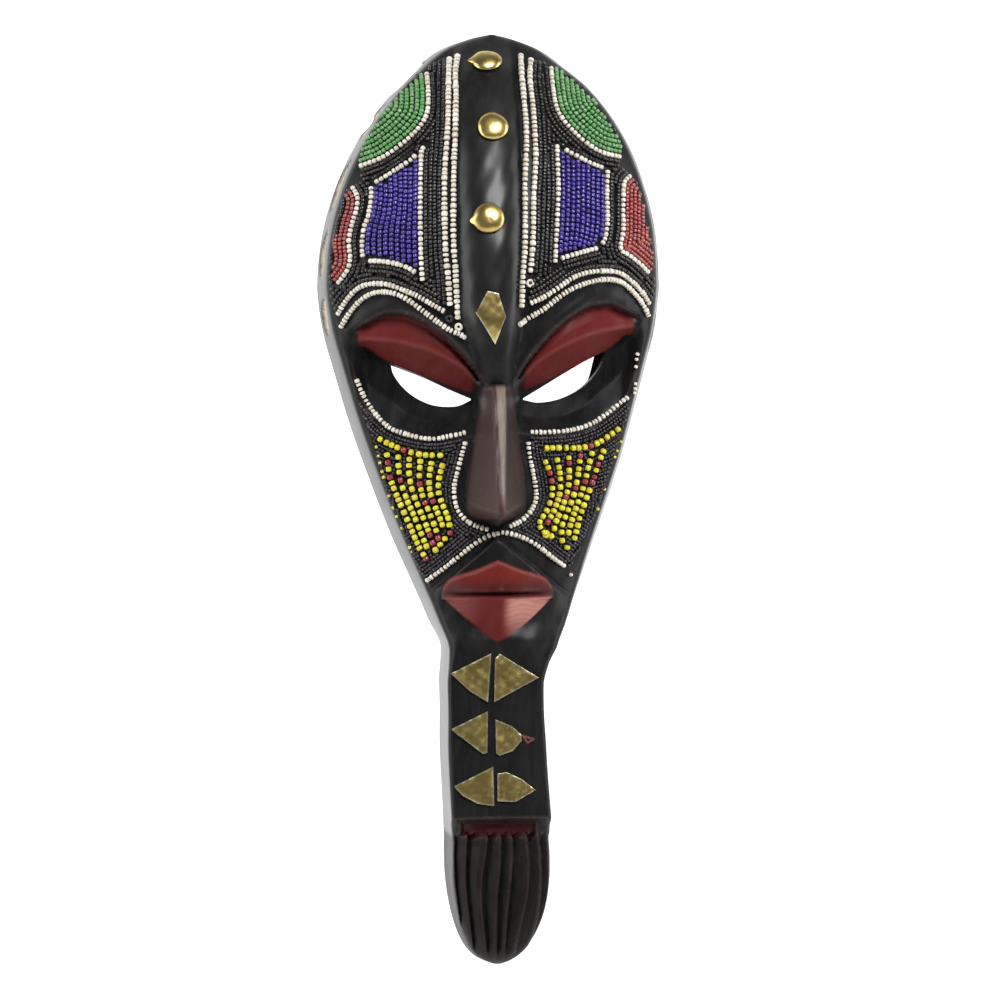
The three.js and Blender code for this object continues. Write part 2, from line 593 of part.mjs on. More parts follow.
add('brass_lozenge', plate(LOZENGE), FINISHES.brass);
TRIANGLES.forEach((points, i) => add(`brass_triangle_${i + 1}`, plate(points), FINISHES.brass));

// ---------------------------------------------------------------- beads
Object.entries(strandLines).forEach(([name, line]) => {
  add(name, geometryOf(ribbon(line, STRAND_WIDTH).intersect(beadSkin)), FINISHES.white);
});

// The biggest piece, without the crumbs that cutting round the strands can leave.
function biggest(solid) {
  const pieces = solid.decompose();
  return pieces.reduce((best, piece) => (piece.volume() > best.volume() ? piece : best));
}

function addField(name, outlinePrism, material) {
  add(name, geometryOf(biggest(outlinePrism.intersect(beadSkin))), material);
}

['left', 'right'].forEach((side) => {
  addField(`green_fan_${side}`, greenPrism(side).subtract(clearing(`green_border_${side}`)),
    FINISHES.green);
  addField(`blue_panel_${side}`, blueInside(side), FINISHES.blue);
  addField(`red_field_${side}`, redPrism(side).subtract(clearing(`red_border_${side}`)),
    FINISHES.red);
  addField(`crown_field_${side}`, crownPrism(side), FINISHES.black);
  addField(`yellow_field_${side}`, prism(YELLOW_FIELDS[side]), FINISHES.yellow);
  addField(`cheek_field_${side}`, cheekPrism(side), FINISHES.black);
});

// ---------------------------------------------------------------- ring hanger at the back
function hangerStrap() {
  const { half, thick, bottom, top } = STRAP;
  const flat = new THREE.BoxGeometry(2 * half, thick, top - bottom);
  flat.translate(0, strapFace - thick / 2, (top + bottom) / 2);
  const ring = new THREE.LatheGeometry([
    new THREE.Vector2(KNUCKLE.bore, -KNUCKLE.half), new THREE.Vector2(KNUCKLE.outer, -KNUCKLE.half),
    new THREE.Vector2(KNUCKLE.outer, KNUCKLE.half), new THREE.Vector2(KNUCKLE.bore, KNUCKLE.half),
    new THREE.Vector2(KNUCKLE.bore, -KNUCKLE.half),
  ], 16);
  ring.rotateZ(Math.PI / 2);
  ring.translate(0, -KNUCKLE.depth, KNUCKLE.height);
  const neckLow = KNUCKLE.height + KNUCKLE.bore + 0.3;
  const neckHigh = bottom + 0.5;
  const neck = new THREE.BoxGeometry(2 * KNUCKLE.half, thick, neckHigh - neckLow);
  neck.translate(0, strapFace - thick / 2, (neckLow + neckHigh) / 2);
  const holes = SCREW.heights.map((height) => {
    const hole = new THREE.CylinderGeometry(SCREW.shank + 0.35, SCREW.shank + 0.35, 6, 10);
    hole.translate(0, strapFace, height);
    return solidOf(hole);
  });
  const whole = solidOf(flat).add(solidOf(ring)).add(solidOf(neck));
  return holes.reduce((rest, hole) => rest.subtract(hole), whole);
}

function hangerScrew(height) {
  const geometry = new THREE.LatheGeometry([
    new THREE.Vector2(0, -SCREW.length), new THREE.Vector2(SCREW.shank * 0.4, -SCREW.length + 1.5),
    new THREE.Vector2(SCREW.shank, -SCREW.length + 3), new THREE.Vector2(SCREW.shank, 0.3),
    new THREE.Vector2(SCREW.head, 0.3), new THREE.Vector2(SCREW.head * 0.8, 0.3 + SCREW.rise * 0.7),
    new THREE.Vector2(0, 0.3 + SCREW.rise),
  ], 12);
  geometry.translate(0, strapFace, height);
  return solidOf(geometry);
}

add('hanger_strap', geometryOf(hangerStrap()), FINISHES.steel);
SCREW.heights.forEach((height, i) => {
  add(`hanger_screw_${i + 1}`, geometryOf(hangerScrew(height)), FINISHES.steel);
});
const ringWire = new THREE.TorusGeometry(RING.radius, RING.wire, 8, 24);
ringWire.rotateX(Math.PI / 2);
const hangingRing = add('hanging_ring', geometryOf(solidOf(ringWire)), FINISHES.steel);
hangingRing.position.set(0, -KNUCKLE.depth, KNUCKLE.height - RING.radius);

mask.position.z = -MOUNT_HEIGHT;

export default mask;
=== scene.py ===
import logging
import math
from dataclasses import dataclass, field
from enum import Enum
from typing import Callable, Iterable, Sequence

import bpy
import numpy as np
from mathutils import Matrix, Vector


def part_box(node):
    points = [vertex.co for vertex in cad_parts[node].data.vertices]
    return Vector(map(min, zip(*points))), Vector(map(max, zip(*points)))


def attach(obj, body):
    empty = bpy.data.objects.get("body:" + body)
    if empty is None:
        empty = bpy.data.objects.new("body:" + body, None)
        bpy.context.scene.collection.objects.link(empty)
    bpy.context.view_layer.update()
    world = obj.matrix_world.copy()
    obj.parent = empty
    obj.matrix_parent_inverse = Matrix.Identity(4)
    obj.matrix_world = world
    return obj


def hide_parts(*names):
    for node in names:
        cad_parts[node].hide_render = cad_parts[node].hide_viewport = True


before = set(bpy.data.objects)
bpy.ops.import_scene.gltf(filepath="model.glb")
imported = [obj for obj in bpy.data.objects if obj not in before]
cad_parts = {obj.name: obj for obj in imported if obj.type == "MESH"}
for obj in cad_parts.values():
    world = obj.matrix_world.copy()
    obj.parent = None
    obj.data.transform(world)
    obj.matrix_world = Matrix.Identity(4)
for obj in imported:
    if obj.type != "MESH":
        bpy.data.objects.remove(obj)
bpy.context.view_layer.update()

LOG = logging.getLogger("mask")
MM = 0.001
Point = tuple[float, float]
Colour = tuple[float, float, float]

TALL = 400.0
TOP_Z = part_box("mask_body")[1][2]
ROOT_BODY = "mask"
WALL_STEP = 10


class Side(Enum):
    """The two sides of the mask, as the viewer sees them."""

    LEFT = "left"
    RIGHT = "right"


# ------------------------------------------------------------------ curves
class Profile:
    """A smooth curve through stations, which never overshoots them."""

    def __init__(self, *stations: Point) -> None:
        """Keep the stations and work out the slope at each.

        Args:
            stations: pairs of position and value, in rising order.
        """
        self.at = np.array([s[0] for s in stations], float)
        self.value = np.array([s[1] for s in stations], float)
        slopes = np.diff(self.value) / np.diff(self.at)
        before = np.concatenate([slopes[:1], slopes])
        after = np.concatenate([slopes, slopes[-1:]])
        total = np.where(np.abs(before + after) < 1e-9, 1.0, before + after)
        self.slope = np.where(before * after > 0, 2 * before * after / total, 0.0)

    def __call__(self, at: np.ndarray) -> np.ndarray:
        """Return the curve's value at each position."""
        at = np.clip(at, self.at[0], self.at[-1])
        i = np.clip(np.searchsorted(self.at, at, side="right") - 1, 0, len(self.at) - 2)
        span = self.at[i + 1] - self.at[i]
        t = (at - self.at[i]) / span
        rise = t * t * (3 - 2 * t)
        leave = t * (1 - t) ** 2 * span * self.slope[i]
        arrive = t * t * (1 - t) * span * self.slope[i + 1]
        return self.value[i] + (self.value[i + 1] - self.value[i]) * rise + leave - arrive


def ramp(low: float, high: float, value: np.ndarray) -> np.ndarray:
    """Return a smooth step from 0 at low to 1 at high."""
    t = np.clip((value - low) / (high - low), 0, 1)
    return t * t * (3 - 2 * t)


def soft_min(a: np.ndarray, b: np.ndarray, blend: float) -> np.ndarray:
    """Return the smaller of two values, rounded where they meet."""
    near = np.maximum(blend - np.abs(a - b), 0) / blend
    return np.minimum(a, b) - near * near * blend / 4


def straight(knots: Sequence[tuple[np.ndarray, np.ndarray]], at: np.ndarray) -> np.ndarray:
    """Run straight lines through knots whose places differ from point to point.

    Args:
        knots: pairs of position and value, in rising order of position.
        at: where the lines are read.

    Returns:
        The value at each point, and the end values beyond the ends.
    """
    value = np.broadcast_to(np.asarray(knots[0][1], float), np.shape(at)).copy()
    for (low, start), (high, end) in zip(knots[:-1], knots[1:]):
        t = np.clip((at - low) / np.maximum(high - low, 1e-6), 0, 1)
        value = np.where(at >= low, start + (end - start) * t, value)
    return value


def smooth_line(points: Sequence[Point], step: float = 0.5) -> np.ndarray:
    """Run an evenly spaced smooth line through given points.

    Args:
        points: places across and up, in millimetres.
        step: the distance between the points of the line.

    Returns:
        The line's points, one row each.
    """
    p = np.array(points, float)
    ends = np.vstack([2 * p[0] - p[1], p, 2 * p[-1] - p[-2]])
    t = np.linspace(0, 1, 16, endpoint=False)[:, None]
    parts = []
    for a, b, c, d in zip(ends[:-3], ends[1:-2], ends[2:-1], ends[3:]):
        parts.append(0.5 * (2 * b + (c - a) * t + (2 * a - 5 * b + 4 * c - d) * t ** 2
                            + (3 * b - a - 3 * c + d) * t ** 3))
    dense = np.vstack([*parts, p[-1:]])
    gone = np.concatenate([[0], np.cumsum(np.hypot(*np.diff(dense, axis=0).T))])
    places = np.linspace(0, gone[-1], max(2, round(gone[-1] / step) + 1))
    return np.column_stack([np.interp(places, gone, dense[:, i]) for i in range(2)])


def inside(outline: np.ndarray, points: np.ndarray) -> np.ndarray:
    """Say which points lie inside a closed outline."""
    x, y = points[:, 0][:, None], points[:, 1][:, None]
    ax, ay = outline[:, 0], outline[:, 1]
    bx, by = np.roll(ax, -1), np.roll(ay, -1)
    spans = (ay > y) != (by > y)
    cross = ax + (y - ay) * (bx - ax) / np.where(by == ay, 1e-9, by - ay)
    return (spans & (x < cross)).sum(axis=1) % 2 == 1


def distance_to(line: np.ndarray, points: np.ndarray) -> np.ndarray:
    """Return each point's distance to the nearest point of a dense line."""
    gaps = points[:, None, :] - line[None, :, :]
    return np.sqrt((gaps ** 2).sum(axis=2)).min(axis=1)


def sideways(line: np.ndarray, distance: float) -> np.ndarray:
    """Return the line moved to its left by a distance."""
    along = np.gradient(line, axis=0)
    along /= np.maximum(np.linalg.norm(along, axis=1, keepdims=True), 1e-9)
    return line + distance * np.column_stack([-along[:, 1], along[:, 0]])


# ------------------------------------------------------------------ carved relief
@dataclass(frozen=True)
class Relief:
    """The carved front: its outline and its depth over the flat back, in millimetres."""

    half_width: float = 74.7
    widest: float = 290.0
    crown_power: float = 0.555
    crown_blunt: float = 0.07
    beard_half: float = 22.9
    beard_round: float = 46.0
    beard_power: float = 0.4
    jaw_half: Profile = Profile(
        (50, 22.8), (66, 22.2), (78, 22), (96, 21.8), (113, 21.3), (122, 21.4), (131, 22.2),
        (139, 24.6), (148, 29.4), (157, 33.1), (174, 40), (191, 46.6), (209, 53.1), (226, 58.8), (243, 63.8),
        (261, 68.8), (278, 73.6), (292, 77))
    edge_inset: Profile = Profile((55, 2.2), (66, 1.2), (134, 1.2), (150, 3), (180, 3.8))
    centre_line: Profile = Profile(
        (0, 1.3), (26, 2), (50, 1.8), (66, 1), (78, 0.3), (96, -0.5), (122, -0.9), (131, 0.6),
        (139, 2.8), (148, 3.2), (165, 2.9), (183, 2.2), (217, 1.7), (245, 1.2), (290, 1.1), (321, 1.9),
        (339, 2.6), (356, 3.4), (378, 3.8), (391, 2.7), (400, 2.5))
    nose_top: float = 247.0
    nose_base: float = 193.0
    mouth: float = 160.4
    mouth_half: float = 23.5
    beard_top: float = 58.3
    recess_top: float = 64.7
    recess_half: float = 15.2
    recess_middle: float = -0.3
    flutes: int = 7
    eye_middle: float = 2.0
    eye_tilt: float = 0.04
    middle_line: Profile = Profile((130, -1.4), (150, 0.6), (190, 0.3), (245, 1), (280, -2))
    middle_depth: Profile = Profile(
        (0, 8), (3, 17), (8, 24), (20, 31), (40, 38), (57, 42), (64.7, 42), (67, 46), (141, 46),
        (150, 44), (180, 43), (225, 41), (240, 41), (255, 44), (265, 48), (280, 52), (300, 54), (321, 52),
        (340, 47), (361, 39), (380, 28), (392, 18), (400, 12))
    edge_depth: Profile = Profile(
        (0, 7), (3, 11), (8, 15), (25, 24), (50, 31), (62, 36), (67, 45.5), (126, 45.5),
        (136, 43), (148, 36), (160, 30.5), (175, 27), (220, 25), (260, 24), (300, 23),
        (340, 21), (370, 17), (388, 12), (400, 9))
    dome_power: Profile = Profile((55, 2), (66, 6), (126, 6), (146, 2.6), (166, 1.7), (230, 1.7),
                                  (290, 2.2))
    crest_depth: Profile = Profile(
        (246, 45), (250, 48), (262, 55), (277, 60), (300, 60.5), (321, 58), (340, 53), (361, 44.5),
        (380, 32.5), (391, 21.5), (400, 13))
    crest_half: Profile = Profile((246, 6.5), (255, 8), (266, 11), (280, 13.5), (350, 14),
                                  (400, 12))
    bowl_low: Profile = Profile((6, 230), (12, 228), (24, 227), (36, 228), (46, 233), (54, 240),
                                (63, 262))
    slot_low: Profile = Profile((8, 242.5), (12, 241), (20, 240), (27, 241.5), (35, 246), (41, 252),
                                (46, 258.6), (63, 268))
    lid_low: Profile = Profile((8, 244.5), (20, 249), (32, 254.2), (44, 259.8), (58, 267.5),
                               (63, 270))
    lid_ridge: Profile = Profile((8, 248.5), (14, 255), (24, 261.5), (33, 265.5), (44, 268.8),
                                 (63, 271.5))
    lid_top: Profile = Profile((6, 247), (11, 254.5), (17, 262), (24, 269), (33, 275.5),
                               (41, 278.8), (47, 279.2), (53, 277), (63, 273))
    nose_depth: Profile = Profile((192, 64), (195, 66.5), (200, 66), (220, 60), (240, 53.5),
                                  (247, 50))
    nose_half: Profile = Profile((190, 11), (199, 13), (206, 12.6), (226, 9.7), (247, 6.6))
    nose_flat: Profile = Profile((194, 1.2), (247, 2.3))
    lip_top: Profile = Profile((0, 174.2), (9, 170.4), (20, 166.6), (23.5, 161.8))

    def outline(self, height: np.ndarray) -> np.ndarray:
        """Return the half width of the flat back at a height."""
        up = np.clip((height - self.widest) / (TALL - self.widest), 0, 1)
        power = self.crown_power - self.crown_blunt * ramp(0.86, 1, up)
        crown = self.half_width * (1 - up ** 2) ** power
        down = np.clip((self.beard_round - height) / self.beard_round, 0, 1)
        beard = self.beard_half * (1 - down ** 2) ** self.beard_power
        return np.maximum(soft_min(np.minimum(self.jaw_half(height), beard + 60 * (height > 50)),
                                   crown, 5), 3.5)

    def front_outline(self, height: np.ndarray) -> np.ndarray:
        """Return the half width of the carved front at a height."""
        half = self.outline(height)
        return half - np.minimum(self.edge_inset(height), 0.25 * half)

    def lean(self, height: np.ndarray) -> np.ndarray:
        """Return how far the block's own middle lies to the side."""
        return self.centre_line(height)

    def off_middle(self, x: np.ndarray, height: np.ndarray) -> np.ndarray:
        """Return the distance from the face's middle line."""
        return np.abs(x - self.middle_line(height))

    def dome(self, x: np.ndarray, height: np.ndarray) -> np.ndarray:
        """Return the depth of the plain rounded front."""
        across = np.clip(np.abs(x - self.lean(height)) / self.front_outline(height), 0, 1)
        edge = self.edge_depth(height)
        return edge + (self.middle_depth(height) - edge) * (1 - across ** self.dome_power(height))

    def crest(self, x: np.ndarray, height: np.ndarray) -> np.ndarray:
        """Return how far the crest stands up over the forehead."""
        across = np.clip(self.off_middle(x, height) / self.crest_half(height), 0, 1)
        rise = (self.crest_depth(height) - self.middle_depth(height)) * (1 - across ** 2.5)
        return np.where(height < 246, 0, rise)

    def eye_place(self, x: np.ndarray, height: np.ndarray) -> tuple[np.ndarray, np.ndarray]:
        """Return a point's distance from the eyes' middle and its level beside the eye."""
        return np.abs(x - self.eye_middle), height - self.eye_tilt * (x - self.eye_middle)

    def eye_strength(self, out: np.ndarray) -> np.ndarray:
        """Return how strongly the eye is carved at a distance from the middle."""
        return ramp(6, 10.5, out) * (1 - ramp(54, 63, out))

    def eye(self, x: np.ndarray, height: np.ndarray) -> np.ndarray:
        """Return how far the bowl, the lid and the brow's ledge change the front."""
        out, level = self.eye_place(x, height)
        ledge = self.lid_top(out) + 1.5
        bowl_middle = 0.5 * (self.bowl_low(out) + self.slot_low(out))
        bulge = 0.5 * (self.lid_ridge(out) + self.lid_top(out))
        return self.eye_strength(out) * straight([
            (self.bowl_low(out) - 0.8, 0.0), (self.bowl_low(out) + 1.2, -1.6), (bowl_middle, -7.2),
            (self.slot_low(out), -9.5), (self.lid_low(out), -8.0), (self.lid_ridge(out), -2.0),
            (bulge, -2.9), (self.lid_top(out), -5.4), (ledge, -0.7), (ledge + 1.2, 0.7),
            (ledge + 3.4, 0.9), (ledge + 7, 0.0)], level)

    def nose(self, x: np.ndarray, height: np.ndarray, ground: np.ndarray) -> np.ndarray:
        """Return the front with the wedge of the nose on it.

        Args:
            x: places across.
            height: heights.
            ground: the front's depth without it.

        Returns:
            The depth at each point.
        """
        out = self.off_middle(x, height)
        half = self.nose_half(height)
        flat = self.nose_flat(height)
        fall = np.clip((out - flat) / (half - flat), 0, 1) ** 1.08
        wedge = self.nose_depth(height) - (self.nose_depth(height) - ground) * fall
        under = np.clip((self.nose_base + 0.5 * out - height) / 4.5, 0, 1)
        above = np.clip((height - self.nose_top) / 1.2, 0, 1)
        nose = wedge + (ground - wedge) * np.maximum(under, above)
        return np.where((out > half) | (height > self.nose_top + 1.2), ground, nose)

    def lip_low(self, out: np.ndarray) -> np.ndarray:
        """Return the height of the lower lip's edge."""
        return 141.2 + 18.8 * np.clip(out / self.mouth_half, 0, 1) ** 1.25

    def lips(self, x: np.ndarray, height: np.ndarray, ground: np.ndarray) -> np.ndarray:
        """Return the front with the muzzle, its cut line and the lips on it.

        Args:
            x: places across.
            height: heights.
            ground: the front's depth without them.

        Returns:
            The depth at each point.
        """
        out = self.off_middle(x, height)
        muzzle_top = 185 - 0.84 * out
        at_muzzle = ramp(146, 168, height) * (1 - ramp(23, 33, out))
        muzzle = ground + 2 * ramp(1, -1.6, height - muzzle_top) * at_muzzle
        cut = np.exp(-((height - muzzle_top) / 1.1) ** 2) * at_muzzle
        muzzle = muzzle - 0.9 * cut
        bulge = 1 - np.clip(out / self.mouth_half, 0, 1) ** 1.6
        low, top = self.lip_low(out), self.lip_top(out)
        corner = self.edge_depth(np.asarray(self.mouth)) + 9
        lips = straight([
            (low - 1.2, 0.0 * out), (low, corner + 6.5 * bulge),
            (0.5 * (low + self.mouth), corner + 13.8 * bulge),
            (self.mouth - 2.0, corner + 18.5 * bulge), (self.mouth - 0.6, corner + 17.4 * bulge),
            (self.mouth, corner + 13 * bulge), (self.mouth + 1.2, corner + 16.6 * bulge),
            (self.mouth + 2.2, corner + 17.2 * bulge), (top, corner + 9 * bulge),
            (top + 1.0, 0.0 * out)], height)
        return np.where(out >= self.mouth_half, muzzle, np.maximum(muzzle, lips))

    def flute_wave(self, x: np.ndarray, height: np.ndarray) -> np.ndarray:
        """Return 1 in the bottom of a flute and 0 on the rib between two."""
        across = (x - self.lean(height)) / (0.45 * self.front_outline(height) + 11)
        wobble = 0.2 * np.sin(height * 0.08 + 2.3 * across) + 0.15 * np.sin(7 * across)
        place_in_rib = (across * self.flutes / 2 + 0.25 + wobble) % 1
        return np.clip(1 - place_in_rib / 0.62, 0, 1) ** 1.3 + ramp(0.86, 1, place_in_rib)

    def beard(self, x: np.ndarray, height: np.ndarray) -> np.ndarray:
        """Return how far the flutes and the recess over them sink into the beard."""
        wave = self.flute_wave(x, height)
        zigzag = self.beard_top - 2.4 * wave
        flutes = wave ** 0.8 * ramp(2, 12, height) * (1 - ramp(0, 1.2, height - zigzag - 1.5))
        recess = ramp(0, 1.6, height - zigzag) * (1 - ramp(-0.9, 0, height - self.recess_top))
        sides = self.recess_half - np.abs(x - self.recess_middle)
        return 2.4 * flutes + 3.6 * recess * ramp(-1, 1, sides)

    def depth(self, x: np.ndarray, height: np.ndarray) -> np.ndarray:
        """Return the depth of the finished front."""
        x, height = np.asarray(x, float), np.asarray(height, float)
        ground = self.dome(x, height) + self.crest(x, height) + self.eye(x, height)
        ground = ground - self.beard(x, height)
        return self.lips(x, height, self.nose(x, height, ground))

    def rounded(self, x: np.ndarray, height: np.ndarray) -> np.ndarray:
        """Return the front's depth with its outer edge rounded over and a carver's unevenness."""
        room = self.front_outline(height) - np.abs(x - self.lean(height))
        turn = 2.2 * (1 - np.sqrt(np.clip(1 - (1 - np.clip(room / 2.6, 0, 1)) ** 2, 0, 1)))
        knife = (0.16 * np.sin(0.31 * x + 1.3 * np.sin(0.13 * height)) * np.sin(0.23 * height + 0.7)
                 + 0.10 * np.sin(0.62 * x - 0.41 * height))
        return self.depth(x, height) - turn + knife


RELIEF = Relief()


def place(x: np.ndarray, height: np.ndarray, depth: np.ndarray) -> np.ndarray:
    """Turn sizes in millimetres into places in the frame, in metres."""
    return np.column_stack([x * MM, -depth * MM, TOP_Z - (TALL - height) * MM])


def surface(points: np.ndarray) -> tuple[np.ndarray, np.ndarray]:
    """Read the carved front under places given across and up.

    Args:
        points: places across and up, in millimetres.

    Returns:
        The places on the wood and the directions the wood faces there.
    """
    x, height = points[:, 0], points[:, 1]
    step = 0.8
    slope_x = (RELIEF.depth(x + step, height) - RELIEF.depth(x - step, height)) / (2 * step)
    slope_h = (RELIEF.depth(x, height + step) - RELIEF.depth(x, height - step)) / (2 * step)
    normal = np.column_stack([-slope_x, -np.ones(len(x)), -slope_h])
    normal /= np.linalg.norm(normal, axis=1, keepdims=True)
    return place(x, height, RELIEF.depth(x, height)), normal


# ------------------------------------------------------------------ shader helpers
class Tree:
    """A node tree that is being wired."""

    def __init__(self, tree: bpy.types.NodeTree) -> None:
        """Keep the tree that nodes are added to."""
        self.tree = tree

    def add(self, kind: str, inputs: dict | None = None, **settings: object) -> bpy.types.Node:
        """Add a node, set it and wire it.

        Args:
            kind: the node's type without its ShaderNode prefix.
            inputs: values or sockets for the node's inputs, by name or number.
            settings: the node's own properties.

        Returns:
            The node.
        """
        name = kind if kind.startswith("NodeGroup") else f"ShaderNode{kind}"
        node = self.tree.nodes.new(name)
        for key, value in settings.items():
            setattr(node, key, value)
        for key, value in (inputs or {}).items():
            if isinstance(value, bpy.types.NodeSocket):
                self.tree.links.new(value, node.inputs[key])
            else:
                node.inputs[key].default_value = value
        return node

    def noise(self, at: bpy.types.NodeSocket, scale: float, detail: float = 3.0,
              roughness: float = 0.55) -> bpy.types.NodeSocket:
        """Add a noise texture and return its value."""
        return self.add("TexNoise", {"Vector": at, "Scale": scale, "Detail": detail,
                                     "Roughness": roughness}).outputs["Fac"]

    def fit(self, value: bpy.types.NodeSocket, low: float, high: float, start: float = 0.0,
            end: float = 1.0) -> bpy.types.NodeSocket:
        """Stretch a value from low..high to start..end and return it."""
        return self.add("MapRange", {0: value, 1: low, 2: high, 3: start, 4: end}).outputs[0]

    def math(self, kind: str, a: object, b: object) -> bpy.types.NodeSocket:
        """Add a math node and return its value."""
        return self.add("Math", {0: a, 1: b}, operation=kind).outputs[0]

    def mix(self, amount: object, a: object, b: object, blend: str = "MIX") -> bpy.types.NodeSocket:
        """Mix two colours by an amount and return the colour."""
        node = self.add("Mix", {0: amount, 6: a, 7: b}, data_type="RGBA", blend_type=blend)
        return node.outputs[2]

    def attribute(self, name: str) -> bpy.types.Node:
        """Add a node that reads one of the piece's own attributes."""
        return self.add("Attribute", attribute_name=name)

    def bump(self, height: bpy.types.NodeSocket, strength: float, distance: float,
             below: bpy.types.NodeSocket | None = None) -> bpy.types.NodeSocket:
        """Add a bump, on top of another one if there is one, and return its normal."""
        inputs = {"Height": height, "Strength": strength, "Distance": distance}
        if below is not None:
            inputs["Normal"] = below
        return self.add("Bump", inputs).outputs[0]


def rgba(colour: Colour) -> tuple[float, float, float, float]:
    """Return a colour with full alpha."""
    return (*colour, 1.0)


def new_group(name: str, inputs: dict[str, float], outputs: Iterable[str]) -> tuple[
        bpy.types.NodeTree, Tree, bpy.types.Node, bpy.types.Node]:
    """Start a shader node group.

    Args:
        name: the group's name.
        inputs: the names and default values of its number inputs.
        outputs: the names of its number outputs.

    Returns:
        The group, its tree helper and its input and output nodes.
    """
    group = bpy.data.node_groups.new(name, "ShaderNodeTree")
    for key, value in inputs.items():
        socket = group.interface.new_socket(key, in_out="INPUT", socket_type="NodeSocketFloat")
        socket.default_value = value
    for key in outputs:
        group.interface.new_socket(key, in_out="OUTPUT", socket_type="NodeSocketFloat")
    tree = Tree(group)
    return group, tree, group.nodes.new("NodeGroupInput"), group.nodes.new("NodeGroupOutput")


def mottle_group() -> bpy.types.NodeTree:
    """Make the group for blotchy variation: dirt, tarnish and handling."""
    group, tree, given, out = new_group("mottle", {"Scale": 60, "Low": 0.4, "High": 0.6}, ["Mask"])
    at = tree.add("TexCoord").outputs["Object"]
    big = tree.add("TexNoise", {"Vector": at, "Scale": given.outputs["Scale"], "Detail": 5.0,
                                "Roughness": 0.62}).outputs["Fac"]
    mask = tree.add("MapRange", {0: big, 1: given.outputs["Low"], 2: given.outputs["High"]})
    group.links.new(mask.outputs[0], out.inputs["Mask"])
    return group


def grain_group() -> bpy.types.NodeTree:
    """Make the group for the long grain of the wood and the brush marks over it."""
    group, tree, given, out = new_group("grain", {"Fineness": 1.0}, ["Grain", "Brush"])
    at = tree.add("TexCoord").outputs["Object"]
    long_way = tree.add("Mapping", {"Vector": at, "Scale": (1.0, 1.0, 0.07)}).outputs[0]
    scaled = tree.add("VectorMath", {0: long_way, "Scale": given.outputs["Fineness"]},
                      operation="SCALE").outputs[0]
    bend = tree.noise(at, 18, 2)
    sway = tree.add("CombineXYZ", {0: tree.fit(bend, 0.3, 0.7, 0, 0.012)}).outputs[0]
    shifted = tree.add("VectorMath", {0: scaled, 1: sway}, operation="ADD").outputs[0]
    grain = tree.noise(shifted, 420, 4, 0.6)
    brush = tree.noise(shifted, 1500, 2, 0.5)
    group.links.new(grain, out.inputs["Grain"])
    group.links.new(brush, out.inputs["Brush"])
    return group


GROUP_MAKERS: dict[str, Callable[[], bpy.types.NodeTree]] = {
    "mottle": mottle_group, "grain": grain_group}
GROUPS: dict[str, bpy.types.NodeTree] = {}


def use_group(tree: Tree, name: str, **inputs: float) -> bpy.types.Node:
    """Place one of the shared groups in a material.

    Args:
        tree: the material's tree.
        name: the group's name.
        inputs: the group's number inputs.

    Returns:
        The group node.
    """
    if name not in GROUPS:
        GROUPS[name] = GROUP_MAKERS[name]()
    node = tree.tree.nodes.new("ShaderNodeGroup")
    node.node_tree = GROUPS[name]
    for key, value in inputs.items():
        node.inputs[key].default_value = value
    return node


def new_material(name: str) -> tuple[bpy.types.Material, Tree, bpy.types.Node]:
    """Start a material and return it with its tree and its shader."""
    material = bpy.data.materials.new(name)
    material.use_nodes = True
    return material, Tree(material.node_tree), material.node_tree.nodes["Principled BSDF"]


# ------------------------------------------------------------------ finishes
@dataclass(frozen=True)
class PaintedWood:
    """Carved wood under worn semi-gloss paint; the colours come from the piece's own paint."""

    dust: Colour = (0.5, 0.46, 0.42)
    worn: Colour = (0.15, 0.10, 0.08)
    pale: Colour = (0.80, 0.70, 0.55)
    pale_dark: Colour = (0.60, 0.47, 0.32)

    def make(self) -> bpy.types.Material:
        """Build the material."""
        material, tree, shader = new_material("painted_wood")
        paint = tree.attribute("paint").outputs["Color"]
        ridge = tree.attribute("ridge").outputs["Fac"]
        bare = tree.attribute("bare").outputs["Fac"]
        grain = use_group(tree, "grain", Fineness=1.0)
        blotch = use_group(tree, "mottle", Scale=55.0, Low=0.38, High=0.66).outputs[0]
        specks = use_group(tree, "mottle", Scale=420.0, Low=0.56, High=0.66).outputs[0]
        varied = tree.mix(tree.math("MULTIPLY", blotch, 0.012), paint, rgba(self.dust))
        streak = tree.fit(grain.outputs["Grain"], 0.42, 0.62)
        dusty = tree.mix(tree.math("MULTIPLY", streak, 0.008), varied, rgba(self.dust))
        edge = tree.math("MULTIPLY", ridge, tree.fit(specks, 0, 1, 0.35, 1.0))
        worn = tree.mix(tree.math("MULTIPLY", edge, 0.55), dusty, rgba(self.worn))
        wood = tree.mix(grain.outputs["Grain"], rgba(self.pale), rgba(self.pale_dark))
        base = tree.mix(bare, worn, wood)
        tree.tree.links.new(base, shader.inputs["Base Color"])
        smear = use_group(tree, "mottle", Scale=28.0, Low=0.3, High=0.7).outputs[0]
        rough = tree.math("ADD", tree.fit(smear, 0, 1, 0.36, 0.5),
                          tree.math("MULTIPLY", bare, 0.25))
        tree.tree.links.new(rough, shader.inputs["Roughness"])
        fine = tree.bump(grain.outputs["Brush"], 0.12, 0.0002)
        coarse = tree.bump(grain.outputs["Grain"], 0.16, 0.0003, fine)
        tree.tree.links.new(coarse, shader.inputs["Normal"])
        gloss = tree.attribute("gloss").outputs["Fac"]
        tree.tree.links.new(gloss, shader.inputs["Coat Weight"])
        mirror = tree.fit(gloss, 0, 0.16, 0.05, 0.22)
        tree.tree.links.new(mirror, shader.inputs["Specular IOR Level"])
        shader.inputs["Coat Roughness"].default_value = 0.27
        return material


